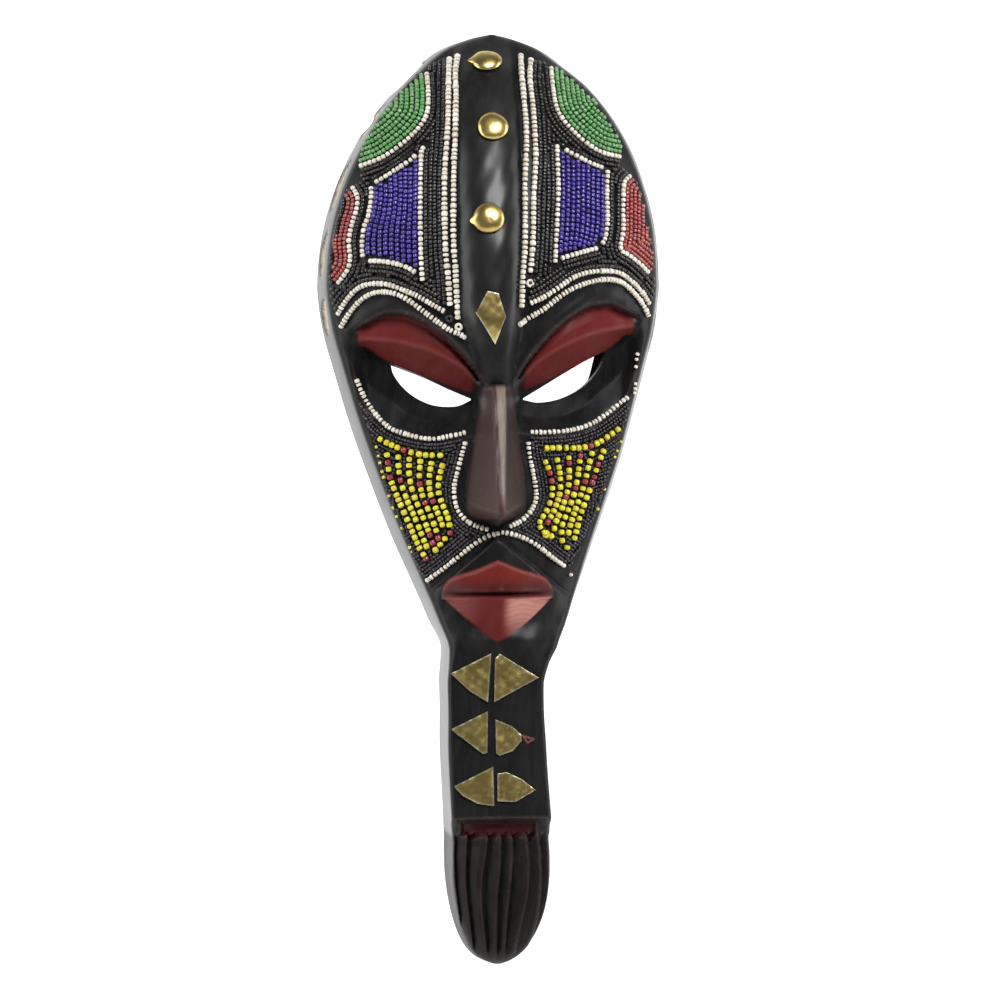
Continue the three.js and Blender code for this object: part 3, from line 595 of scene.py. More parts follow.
@dataclass(frozen=True)
class BeadGlass:
    """Opaque bead glass, each bead a little different, with some beads of a second colour."""

    name: str
    colour: Colour
    other: Colour
    second: Colour | None = None
    roughness: float = 0.28

    def make(self) -> bpy.types.Material:
        """Build the material."""
        material, tree, shader = new_material(self.name)
        tint = tree.attribute("tint").outputs["Fac"]
        base = tree.mix(tint, rgba(self.colour), rgba(self.other))
        if self.second is not None:
            base = tree.mix(tree.attribute("second").outputs["Fac"], base, rgba(self.second))
        dirt = use_group(tree, "mottle", Scale=700.0, Low=0.5, High=0.72).outputs[0]
        base = tree.mix(tree.math("MULTIPLY", dirt, 0.25), base, rgba((0.12, 0.09, 0.07)))
        tree.tree.links.new(base, shader.inputs["Base Color"])
        rough = tree.fit(tint, 0, 1, self.roughness - 0.06, self.roughness + 0.10)
        tree.tree.links.new(rough, shader.inputs["Roughness"])
        at = tree.add("TexCoord").outputs["Object"]
        grainy = tree.bump(tree.noise(at, 2600, 1), 0.12, 0.00015)
        tree.tree.links.new(grainy, shader.inputs["Normal"])
        shader.inputs["Coat Weight"].default_value = 0.25
        shader.inputs["Coat Roughness"].default_value = 0.12
        return material


@dataclass(frozen=True)
class BeatenMetal:
    """Sheet or wire metal with hammer marks, scratches, tarnish and a painted glint along marked rims."""

    name: str
    bright: Colour
    dull: Colour
    tarnish: Colour
    tarnished: float = 0.6
    roughness: float = 0.3
    rim_glint: Colour = (0.95, 0.88, 0.62)

    def make(self) -> bpy.types.Material:
        """Build the material."""
        material, tree, shader = new_material(self.name)
        at = tree.add("TexCoord").outputs["Object"]
        tone = use_group(tree, "mottle", Scale=60.0, Low=0.3, High=0.7).outputs[0]
        spots = use_group(tree, "mottle", Scale=190.0, Low=0.5, High=0.75).outputs[0]
        base = tree.mix(tone, rgba(self.bright), rgba(self.dull))
        stained = tree.math("MULTIPLY", spots, self.tarnished)
        base = tree.mix(stained, base, rgba(self.tarnish))
        # Painted glint: edges marked by the rim attribute are lightened towards pale brass, as if they
        # caught the light.
        rim = tree.attribute("rim").outputs["Fac"]
        base = tree.mix(tree.math("MULTIPLY", rim, 0.75), base, rgba(self.rim_glint))
        tree.tree.links.new(base, shader.inputs["Base Color"])
        rough = tree.fit(spots, 0, 1, self.roughness, self.roughness + 0.25)
        tree.tree.links.new(rough, shader.inputs["Roughness"])
        shader.inputs["Metallic"].default_value = 1.0
        dents = tree.bump(tree.noise(at, 75, 1), 0.3, 0.0016)
        scratches = tree.bump(tree.noise(at, 1900, 2), 0.03, 0.0002, dents)
        tree.tree.links.new(scratches, shader.inputs["Normal"])
        return material


class Materials:
    """All the finishes of the mask, each built once."""

    def __init__(self) -> None:
        """Build every finish."""
        self.wood = PaintedWood().make()
        self.white = BeadGlass("white_beads", (0.86, 0.82, 0.74), (0.68, 0.61, 0.49)).make()
        self.black = BeadGlass("black_beads", (0.014, 0.013, 0.014), (0.035, 0.028, 0.028),
                               roughness=0.32).make()
        self.grit = BeadGlass("black_grit", (0.018, 0.017, 0.019), (0.05, 0.042, 0.05),
                              second=(0.07, 0.045, 0.10), roughness=0.4).make()
        self.green = BeadGlass("green_beads", (0.11, 0.31, 0.10), (0.19, 0.41, 0.17)).make()
        self.blue = BeadGlass("blue_beads", (0.038, 0.020, 0.22), (0.065, 0.040, 0.32)).make()
        self.red = BeadGlass("red_beads", (0.35, 0.058, 0.055), (0.43, 0.11, 0.095)).make()
        self.yellow = BeadGlass("yellow_beads", (0.72, 0.67, 0.03), (0.66, 0.53, 0.04),
                                second=(0.33, 0.035, 0.05)).make()
        self.boss = BeatenMetal("polished_brass", (0.85, 0.66, 0.24), (0.60, 0.43, 0.15),
                                (0.22, 0.14, 0.05), 0.45, 0.3).make()
        self.sheet = BeatenMetal("beaten_brass", (0.70, 0.55, 0.20), (0.44, 0.33, 0.11),
                                 (0.14, 0.09, 0.04), 0.45, 0.3).make()
        self.steel = BeatenMetal("dull_steel", (0.55, 0.54, 0.50), (0.42, 0.41, 0.38),
                                 (0.20, 0.13, 0.09), 0.35, 0.32).make()


# ------------------------------------------------------------------ modelling helpers
def deselect() -> None:
    """Leave edit mode and select nothing."""
    if bpy.context.object and bpy.context.object.mode != "OBJECT":
        bpy.ops.object.mode_set(mode="OBJECT")
    bpy.ops.object.select_all(action="DESELECT")


def pick(piece: bpy.types.Object) -> None:
    """Select one object alone and make it the active one."""
    deselect()
    piece.select_set(True)
    bpy.context.view_layer.objects.active = piece


def read_points(piece: bpy.types.Object) -> np.ndarray:
    """Return the places of a mesh's vertices."""
    flat = np.empty(len(piece.data.vertices) * 3)
    piece.data.vertices.foreach_get("co", flat)
    return flat.reshape(-1, 3)


def write_points(piece: bpy.types.Object, points: np.ndarray) -> None:
    """Move a mesh's vertices to new places."""
    piece.data.vertices.foreach_set("co", np.ascontiguousarray(points, float).ravel())
    piece.data.update()


def write_attribute(piece: bpy.types.Object, name: str, values: np.ndarray) -> None:
    """Store a number or a colour for each vertex."""
    kind = "FLOAT_COLOR" if values.ndim == 2 else "FLOAT"
    layer = piece.data.attributes.new(name, kind, "POINT")
    layer.data.foreach_set("color" if values.ndim == 2 else "value", values.astype(float).ravel())


def settle(piece: bpy.types.Object) -> None:
    """Apply a piece's place, turn and size to its mesh."""
    pick(piece)
    bpy.ops.object.transform_apply(location=True, rotation=True, scale=True)


def smooth(piece: bpy.types.Object, degrees: float) -> None:
    """Shade a piece smooth, with edges kept that are sharper than an angle."""
    pick(piece)
    bpy.ops.object.shade_smooth_by_angle(angle=math.radians(degrees))


def apply_all(piece: bpy.types.Object) -> None:
    """Apply all the modifiers of a piece, in order."""
    pick(piece)
    for modifier in list(piece.modifiers):
        bpy.ops.object.modifier_apply(modifier=modifier.name)


def grid_block(columns: int, rows: int, steps: int) -> bpy.types.Object:
    """Make a closed block from a flat grid whose rim is drawn out backwards.

    Args:
        columns: the grid's columns.
        rows: the grid's rows.
        steps: the rings of faces round the sides.

    Returns:
        The block, two units square, with WALL_STEP units between rings.
    """
    deselect()
    bpy.ops.mesh.primitive_grid_add(x_subdivisions=columns, y_subdivisions=rows, size=2)
    piece = bpy.context.object
    bpy.ops.object.mode_set(mode="EDIT")
    bpy.ops.mesh.select_all(action="SELECT")
    bpy.ops.mesh.region_to_loop()
    for _ in range(steps):
        bpy.ops.mesh.extrude_edges_move(TRANSFORM_OT_translate={"value": (0, 0, -WALL_STEP)})
    bpy.ops.mesh.edge_face_add()
    bpy.ops.object.mode_set(mode="OBJECT")
    return piece


def hand_over(piece: bpy.types.Object, name: str, material: bpy.types.Material,
              nodes: Sequence[str], body: str = ROOT_BODY) -> None:
    """Name and dress a finished piece and tie it to the frame.

    Args:
        piece: the finished object.
        name: the name of the piece.
        material: the piece's finish.
        nodes: the CAD nodes that the piece stands for.
        body: the CAD body that the piece rides on.
    """
    piece.name = name
    piece.data.name = name
    piece.data.materials.clear()
    piece.data.materials.append(material)
    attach(piece, body)
    if nodes:
        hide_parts(*nodes)
    LOG.info("%s: %d faces", name, len(piece.data.polygons))


# ------------------------------------------------------------------ the carved block
# The curved lower edge and the straighter upper edge of each eye slot.
EYE_SLOTS: dict[Side, tuple[tuple[Point, ...], tuple[Point, ...]]] = {
    Side.LEFT: (
        ((-43.4, 258), (-41.2, 252.8), (-37, 247.4), (-31.2, 243), (-24, 240.2), (-15.4, 239.9),
         (-9.3, 242.4)),
        ((-9.3, 243), (-18.2, 246.9), (-29.7, 252.7), (-42.6, 258.4))),
    Side.RIGHT: (
        ((48.8, 262.6), (47.6, 258.4), (43.4, 252), (37.2, 246.6), (28.2, 242.6), (19.5, 241.2),
         (12.9, 242.4)),
        ((12.9, 243), (19.5, 246.9), (28.3, 252.2), (38.5, 258.1), (48, 262.8))),
}


@dataclass
class CarvedBlock:
    """The wood: one block, carved in front, hollow behind, with two eye slots."""

    columns: int = 164
    side_steps: int = 14
    row_zones: tuple[tuple[float, float, int], ...] = (
        (0, 3, 9), (3, 12, 11), (12, 52, 34), (52, 68, 30), (68, 95, 10), (95, 104, 18),
        (104, 134, 11), (134, 194, 108), (194, 290, 132), (290, 385, 58),
        (385, 397, 13), (397, 400, 8))
    notches: tuple[tuple[int, tuple[float, ...]], ...] = (
        (-1, (279, 306, 335.5, 363, 383)), (1, (272, 297, 322, 347, 371.6, 391)))
    notch_long: float = 9.5
    notch_wide: float = 5.4
    notch_dip: float = 11.5
    notch_deep: float = 2.2
    notches_from: float = 240.0
    hollow_ends: Point = (152.0, 366.0)
    pocket_low: float = 352.0
    pocket_wide: float = 24.0
    pocket_deep: float = 4.6
    chip: tuple[Point, ...] = ((10, 101.1), (14.6, 99.6), (12, 98.2), (10, 101.1))
    black: Colour = (0.0062, 0.0060, 0.0068)
    maroon: Colour = (0.115, 0.013, 0.012)
    lip_red: Colour = (0.130, 0.013, 0.012)
    lip_rubbed: Colour = (0.46, 0.17, 0.14)
    mouth_shade: Colour = (0.035, 0.006, 0.006)
    brown: Colour = (0.052, 0.029, 0.028)
    # Painted shade for the right facet of the nose.
    nose_painted_shade: Colour = (0.022, 0.013, 0.013)
    nose_rubbed: Colour = (0.36, 0.29, 0.24)
    recess_red: Colour = (0.075, 0.012, 0.013)
    lid_rubbed: Colour = (0.30, 0.09, 0.08)
    beard_brown: Colour = (0.024, 0.012, 0.011)
    lip_sheen: Colour = (0.66, 0.31, 0.26)
    gloss: float = 0.65
    stain: Colour = (0.045, 0.026, 0.017)
    piece: bpy.types.Object = field(init=False)

    def build(self, materials: Materials) -> None:
        """Carve the block and dress it."""
        self.piece = self.carve_blank()
        for cut in (self.hollow(), self.slot(Side.LEFT), self.slot(Side.RIGHT), self.pocket()):
            self.cut_away(cut)
        self.paint()
        smooth(self.piece, 38)
        hand_over(self.piece, "carved_block", materials.wood, ["mask_body"])

    def heights(self) -> np.ndarray:
        """Return the heights of the block's rows."""
        parts = [np.linspace(low, high, rows, endpoint=False) for low, high, rows in self.row_zones]
        return np.concatenate([*parts, [TALL]])

    def notch_centres(self) -> list[tuple[int, float]]:
        """Return each gouge cut's side (-1 or 1) and its height on the crown's edge."""
        return [(side, height) for side, heights in self.notches for height in heights]

    def notch_mask(self, x: np.ndarray, height: np.ndarray, back: np.ndarray) -> np.ndarray:
        """Return how deep in a gouge cut a point of the side wall lies, from 0 to 1.

        Args:
            x: places across.
            height: heights.
            back: how far the points lie behind the front's edge.
        """
        mask = np.zeros(len(x))
        for number, (side, centre) in enumerate(self.notch_centres()):
            rise = RELIEF.outline(np.array([centre + 1.0])) - RELIEF.outline(np.array([centre]))
            slope = rise[0]
            along = (height - centre) * math.hypot(1, slope)
            long = self.notch_long * (0.85 + 0.3 * ((number * 7) % 5) / 4)
            dip = self.notch_dip - 4.0 * (along / long) ** 2 * (along > 0)
            reach = (along / long) ** 2 + ((back - dip) / self.notch_wide) ** 2
            mask = np.where(np.sign(x) == side, np.maximum(mask, 1 - reach), mask)
        return np.clip(mask, 0, 1)

    def carve_blank(self) -> bpy.types.Object:
        """Make the closed block with the carved front, before the hollow is cut."""
        heights = self.heights()
        rows = len(heights) - 1
        piece = grid_block(self.columns, rows, self.side_steps)
        points = read_points(piece)
        step = np.round(-points[:, 2] / WALL_STEP)
        back = step / self.side_steps
        across = points[:, 0] * (1.04 - 0.04 * points[:, 0] ** 2)
        height = heights[np.round((points[:, 1] + 1) / 2 * rows).astype(int)]
        front, rear = RELIEF.front_outline(height), RELIEF.outline(height)
        half = front + (rear - front) * back ** 0.8
        x = RELIEF.lean(height) + across * half
        edge = RELIEF.rounded(RELIEF.lean(height) + across * front, height)
        depth = edge * (1 - back)
        is_side = (np.abs(points[:, 0]) > 0.999) & (height > self.notches_from)
        gouge = np.where(is_side, self.notch_mask(x, height, edge - depth), 0)
        x = x - np.sign(x) * self.notch_deep * np.sqrt(gouge)
        write_points(piece, place(x, height, depth))
        bpy.ops.object.mode_set(mode="EDIT")
        bpy.ops.mesh.select_all(action="SELECT")
        bpy.ops.mesh.normals_make_consistent(inside=False)
        bpy.ops.object.mode_set(mode="OBJECT")
        return piece

    def hollow(self) -> bpy.types.Object:
        """Make the solid that is cut out of the back."""
        half = Profile((152, 8), (162, 17), (180, 26), (215, 37), (255, 48), (290, 56), (320, 54),
                       (345, 44), (360, 31), (366, 20))
        columns, rows, wall, deepest, overrun = 44, 100, 14.0, 27.0, 3.0
        piece = grid_block(columns, rows, 1)
        points = read_points(piece)
        low, high = self.hollow_ends
        height = low + (points[:, 1] + 1) / 2 * (high - low)
        x = RELIEF.lean(height) + points[:, 0] * half(height)
        thick = np.maximum(RELIEF.dome(x, height) - wall, 4)
        ends = 0.25 + 0.75 * ramp(148, 175, height) * (1 - ramp(345, 374, height))
        gouges = 0.5 * np.sin(0.9 * x + np.sin(0.21 * height)) * np.sin(0.35 * height)
        bottom = overrun + np.minimum(deepest, thick) * (1 - np.abs(points[:, 0]) ** 3.5) * ends
        depth = np.where(points[:, 2] < -WALL_STEP / 2, -overrun, bottom + gouges * ends)
        write_points(piece, place(x, height, depth))
        return piece

    def slot(self, side: Side) -> bpy.types.Object:
        """Make the solid that is cut out for one eye.

        Args:
            side: the side of the mask.

        Returns:
            The solid.
        """
        edge, lid = EYE_SLOTS[side]
        outline = np.vstack([smooth_line(edge, 1.5), np.array(lid)])
        x, height = outline[:, 0], outline[:, 1]
        mesh = bpy.data.meshes.new("slot")
        front = place(x, height, np.full(len(x), 90.0))
        mesh.from_pydata([tuple(p) for p in front], [], [tuple(range(len(x)))])
        piece = bpy.data.objects.new("slot", mesh)
        bpy.context.collection.objects.link(piece)
        pick(piece)
        bpy.ops.object.mode_set(mode="EDIT")
        bpy.ops.mesh.select_all(action="SELECT")
        bpy.ops.mesh.extrude_region_move(TRANSFORM_OT_translate={"value": (0, 0.08, 0)})
        bpy.ops.mesh.select_all(action="SELECT")
        bpy.ops.mesh.normals_make_consistent(inside=False)
        bpy.ops.object.mode_set(mode="OBJECT")
        return piece

    def pocket(self) -> bpy.types.Object:
        """Make the block that is cut out of the rim for the hanger."""
        low_z = TOP_Z - (TALL - self.pocket_low) * MM
        high_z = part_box("hanger_strap")[1][2] + 3 * MM
        deselect()
        bpy.ops.mesh.primitive_cube_add(size=1, location=(0, 0, (low_z + high_z) / 2))
        piece = bpy.context.object
        piece.scale = (self.pocket_wide * MM, 2 * (self.pocket_deep * MM), high_z - low_z)
        settle(piece)
        return piece

    def cut_away(self, cut: bpy.types.Object) -> None:
        """Cut a solid out of the block and throw the solid away."""
        modifier = self.piece.modifiers.new("cut", "BOOLEAN")
        modifier.operation = "DIFFERENCE"
        modifier.object = cut
        modifier.solver = "EXACT"
        apply_all(self.piece)
        bpy.data.objects.remove(cut, do_unlink=True)

    def paint(self) -> None:
        """Store the paint, the bare wood and the worn ridges on the block's vertices."""
        points = read_points(self.piece)
        x, depth = points[:, 0] / MM, -points[:, 1] / MM
        height = TALL - (TOP_Z - points[:, 2]) / MM
        on_front = np.abs(depth - RELIEF.rounded(x, height)) < 0.6
        half = RELIEF.outline(height)
        behind = (depth < 0.05) | ((depth < RELIEF.rounded(x, height) - 1.5)
                                   & (np.abs(x - RELIEF.lean(height)) < half - 6))
        colour = np.tile(np.array(self.black), (len(x), 1))

        def brush(mask: np.ndarray, paint: Colour) -> None:
            """Lay a paint on as thickly as the mask says."""
            colour[:] = colour + (np.array(paint) - colour) * mask[:, None]

        facing = (depth > 26).astype(float)
        out, level = RELIEF.eye_place(x, height)
        lid = (ramp(-0.5, 0.7, RELIEF.lid_top(out) + 0.3 - level)
               * ramp(-0.5, 0.6, level - RELIEF.lid_low(out) - 0.3)
               * ramp(9.6, 12.4, out) * ramp(0.35, 0.6, RELIEF.eye_strength(out)))
        brush(lid * facing, self.maroon)
        top_line = np.exp(-((level - RELIEF.lid_ridge(out) - 0.6) / 0.9) ** 2) * lid
        brush(0.25 * top_line * facing, self.lid_rubbed)
        middle = RELIEF.off_middle(x, height)
        lip = (ramp(-0.6, 0.6, RELIEF.lip_top(middle) + 0.5 - height)
               * ramp(-0.6, 0.6, height - RELIEF.lip_low(middle) + 0.4)
               * (1 - ramp(RELIEF.mouth_half - 1.0, RELIEF.mouth_half, middle))) * facing
        brush(lip, self.lip_red)
        over = ramp(-0.3, 0.3, height - RELIEF.mouth)
        brush(0.8 * over * lip * (1 - ramp(1, 9, height - RELIEF.mouth)), self.mouth_shade)
        brush(0.35 * lip * over * np.exp(-((RELIEF.lip_top(middle) - height) / 0.8) ** 2),
              self.lip_rubbed)
        brush(np.exp(-((height - RELIEF.mouth) / 0.6) ** 2) * lip, self.mouth_shade)
        streaks = 0.88 + 0.12 * np.sin(3.1 * height + 2.3 * np.sin(0.37 * x + 1)
                                       + 1.1 * np.sin(1.3 * height))
        low_lip = lip * (1 - ramp(RELIEF.mouth - 2.4, RELIEF.mouth - 1, height))
        brush(0.8 * low_lip * ramp(0.5, 6, x) * ramp(141, 156, height + 0.3 * x) * streaks,
              self.lip_sheen)
        brush(0.3 * low_lip * ramp(-6, -17, x) * streaks, self.lip_rubbed)
        nose = (ramp(-1, 0.6, RELIEF.nose_half(height) - 0.8 - middle) * ramp(-1, 1, height - 192)
                * ramp(-1, 1, RELIEF.nose_top + 0.5 - height))
        brush(nose * on_front, self.brown)
        across = x - RELIEF.middle_line(height)
        # Painted shade: the nose's right facet is darkened, as if it lay in shadow.
        brush(0.7 * nose * on_front * ramp(1.2, 3.2, across), self.nose_painted_shade)
        width = 0.55 + 1.3 * ramp(196, 246, height)
        stripe = nose * on_front * ramp(194, 204, height) * (
            ramp(-0.5, 0.4, width - np.abs(across - 1.0)))
        brush(0.5 * stripe, self.nose_rubbed)
        brush(0.6 * nose * on_front * np.exp(-((across + width - 0.6) / 0.5) ** 2), self.recess_red)
        zigzag = RELIEF.beard_top - 2.4 * RELIEF.flute_wave(x, height)
        recess = (ramp(0.4, 1.4, height - zigzag) * (1 - ramp(-0.7, 0.1, height - RELIEF.recess_top))
                  * ramp(-0.5, 0.6, RELIEF.recess_half - np.abs(x - RELIEF.recess_middle)))
        brush(recess * on_front, self.recess_red)
        beard = 1 - ramp(56, 60, height)
        brush(0.25 * beard * (1 - RELIEF.flute_wave(x, height)) * on_front, self.beard_brown)
        scratch = np.vstack([np.linspace(a, b, 16) for a, b in zip(self.chip, self.chip[1:])])
        scratched = distance_to(scratch, np.column_stack([x, height]))
        brush(0.45 * (1 - ramp(0.15, 0.5, scratched)) * on_front, self.lip_rubbed)
        brush(behind.astype(float), self.stain)
        edge = RELIEF.rounded(RELIEF.lean(height) + np.sign(x - RELIEF.lean(height))
                              * RELIEF.front_outline(height), height)
        is_side = ~on_front & ~behind
        gouge = np.where(is_side & (height > self.notches_from),
                         self.notch_mask(x, height, edge - depth), 0)
        write_attribute(self.piece, "paint", np.column_stack([colour, np.ones(len(x))]))
        write_attribute(self.piece, "bare", ramp(0.02, 0.24, gouge))
        calm = 1 - 0.85 * np.clip(lip + np.exp(-((height - 185 + 0.84 * middle) / 3) ** 2), 0, 1)
        calm = calm * (1 - 0.6 * beard) * (1 - 0.7 * ramp(0.2, 0.6, lid))
        write_attribute(self.piece, "ridge", self.ridges(x, height) * on_front * calm)
        bowl = (ramp(0, 4, level - RELIEF.bowl_low(out))
                * (1 - ramp(0, 3, level - RELIEF.lid_low(out))))
        bowl = bowl * RELIEF.eye_strength(out)
        crest = ramp(262, 290, height) * (1 - ramp(8, 14, middle))
        shine = np.where(is_side, 1.0, 0.12 + 0.33 * crest)
        dull = np.clip(bowl + 0.6 * lid + 0.55 * lip + 0.8 * beard + behind, 0, 1)
        write_attribute(self.piece, "gloss", self.gloss * shine * (1 - dull))

    def ridges(self, x: np.ndarray, height: np.ndarray) -> np.ndarray:
        """Return how sharp an outward edge the front has at each point."""
        step = 1.4
        around = (RELIEF.depth(x + step, height) + RELIEF.depth(x - step, height)
                  + RELIEF.depth(x, height + step) + RELIEF.depth(x, height - step)) / 4
        return ramp(0.18, 0.75, RELIEF.depth(x, height) - around)


# ------------------------------------------------------------------ beads
@dataclass(frozen=True)
class BeadKind:
    """The size of one sort of bead, in millimetres, and how unlike each other they are."""

    radius: float
    long: float
    gap: float = 0.15
    uneven: float = 0.22
    tilt: float = 7.0
    sink: float = 0.12
    turned: float = 0.0
    missing: float = 0.0


@dataclass
class Row:
    """Beads on one line: their places, directions and half lengths."""

    places: np.ndarray
    along: np.ndarray
    half: np.ndarray


class BeadBox:
    """Threads, sets and joins beads; one bead is modelled and all the others are copies."""

    segments: int = 8

    def __init__(self) -> None:
        """Model the bead that is copied."""
        deselect()
        bpy.ops.mesh.primitive_uv_sphere_add(segments=self.segments, ring_count=6, radius=1)
        bead = bpy.context.object
        points = read_points(bead)
        level = np.abs(points[:, 2])
        reach = np.hypot(points[:, 0], points[:, 1])
        new_reach = np.where(level > 0.7, 0.55, np.where(level > 0.2, 0.9, 1.0))
        new_level = np.where(level > 0.2, 0.76, 0)
        new_level = np.where(level > 0.95, 0.4, np.where(level > 0.7, 1.0, new_level))
        scale = np.where(reach > 1e-4, new_reach / np.maximum(reach, 1e-4), 0)
        points[:, :2] *= scale[:, None]
        points[:, 2] = np.sign(points[:, 2]) * new_level
        self.points = points
        self.faces = [tuple(face.vertices) for face in bead.data.polygons]
        bpy.data.objects.remove(bead, do_unlink=True)

    def thread(self, line: np.ndarray, kind: BeadKind, dice: np.random.Generator) -> Row:
        """Set beads one after another along a line on the wood.

        Args:
            line: a dense line of places across and up, in millimetres.
            kind: the beads' size.
            dice: the seeded source of their unevenness.

        Returns:
            The row of beads.
        """
        on_wood, _ = surface(line)
        steps = np.linalg.norm(np.diff(on_wood, axis=0), axis=1) / MM
        gone = np.concatenate([[0], np.cumsum(steps)])
        centres, halves, at = [], [], 0.3
        while at < gone[-1]:
            size = kind.long * (1 + kind.uneven * dice.uniform(-1, 1) * dice.uniform(0.3, 1))
            if at + size > gone[-1] + 0.4 * kind.long:
                break
            if dice.random() >= kind.missing:
                centres.append(at + size / 2)
                halves.append(size / 2)
            at += size + kind.gap * dice.uniform(0.3, 1.7)
        centres = np.array(centres)
        places = np.column_stack([np.interp(centres, gone, line[:, i]) for i in range(2)])
        ahead = np.column_stack([np.interp(centres + 0.5, gone, line[:, i]) for i in range(2)])
        before = np.column_stack([np.interp(centres - 0.5, gone, line[:, i]) for i in range(2)])
        return Row(places, ahead - before, np.array(halves))

    def string(self, name: str, rows: Sequence[Row], kind: BeadKind, dice: np.random.Generator,
               second: float = 0.0) -> bpy.types.Object:
        """Join rows of beads into one piece.

        Args:
            name: the piece's name.
            rows: the rows of beads.
            kind: the beads' size.
            dice: the seeded source of their unevenness.
            second: the share of beads in the second colour.

        Returns:
            The piece, with each bead's tint stored on it.
        """
        places = np.vstack([row.places for row in rows])
        along = np.vstack([row.along for row in rows])
        half = np.concatenate([row.half for row in rows])
        count = len(places)
        wood, normal = surface(places)
        ahead, _ = surface(places + along * 0.5)
        behind, _ = surface(places - along * 0.5)
        axis = ahead - behind
        axis /= np.maximum(np.linalg.norm(axis, axis=1, keepdims=True), 1e-9)
        turned = dice.random(count) < kind.turned
        axis[turned] = normal[turned] + 0.25 * axis[turned]
        axis += np.tan(math.radians(kind.tilt)) * dice.uniform(-1, 1, (count, 3)) * 0.6
        axis /= np.linalg.norm(axis, axis=1, keepdims=True)
        helper = np.where(turned[:, None], np.array([1.0, 0.0, 0.0]), normal)
        across = np.cross(axis, helper)
        across /= np.linalg.norm(across, axis=1, keepdims=True)
        up = np.cross(across, axis)
        radius = kind.radius * (1 + 0.35 * kind.uneven * dice.uniform(-1, 1, count))
        lift = np.where(turned, half, radius) * (1 - kind.sink) + 0.05
        centre = wood + normal * (lift * MM)[:, None]
        px, py, pz = self.points.T
        points = (centre[:, None, :]
                  + (radius * MM)[:, None, None] * (px[None, :, None] * across[:, None, :]
                                                    + py[None, :, None] * up[:, None, :])
                  + (half * MM)[:, None, None] * pz[None, :, None] * axis[:, None, :])
        size = len(self.points)
        faces = [tuple(v + size * i for v in face) for i in range(count) for face in self.faces]
        mesh = bpy.data.meshes.new(name)
        mesh.from_pydata(points.reshape(-1, 3).tolist(), [], faces)
        piece = bpy.data.objects.new(name, mesh)
        bpy.context.collection.objects.link(piece)
        write_attribute(piece, "tint", np.repeat(dice.random(count) ** 1.6, size))
        write_attribute(piece, "second", np.repeat((dice.random(count) < second) * 1.0, size))
        smooth(piece, 50)
        return piece


def near(places: np.ndarray, others: Sequence[np.ndarray], room: float) -> np.ndarray:
    """Say which places lie nearer than a distance to any of the others."""
    close = np.zeros(len(places), bool)
    for other in others:
        if len(other) and len(places):
            close |= distance_to(other, places) < room
    return close


def keep(row: Row, good: np.ndarray) -> Row:
    """Return a row with only its good beads."""
    return Row(row.places[good], row.along[good], row.half[good])


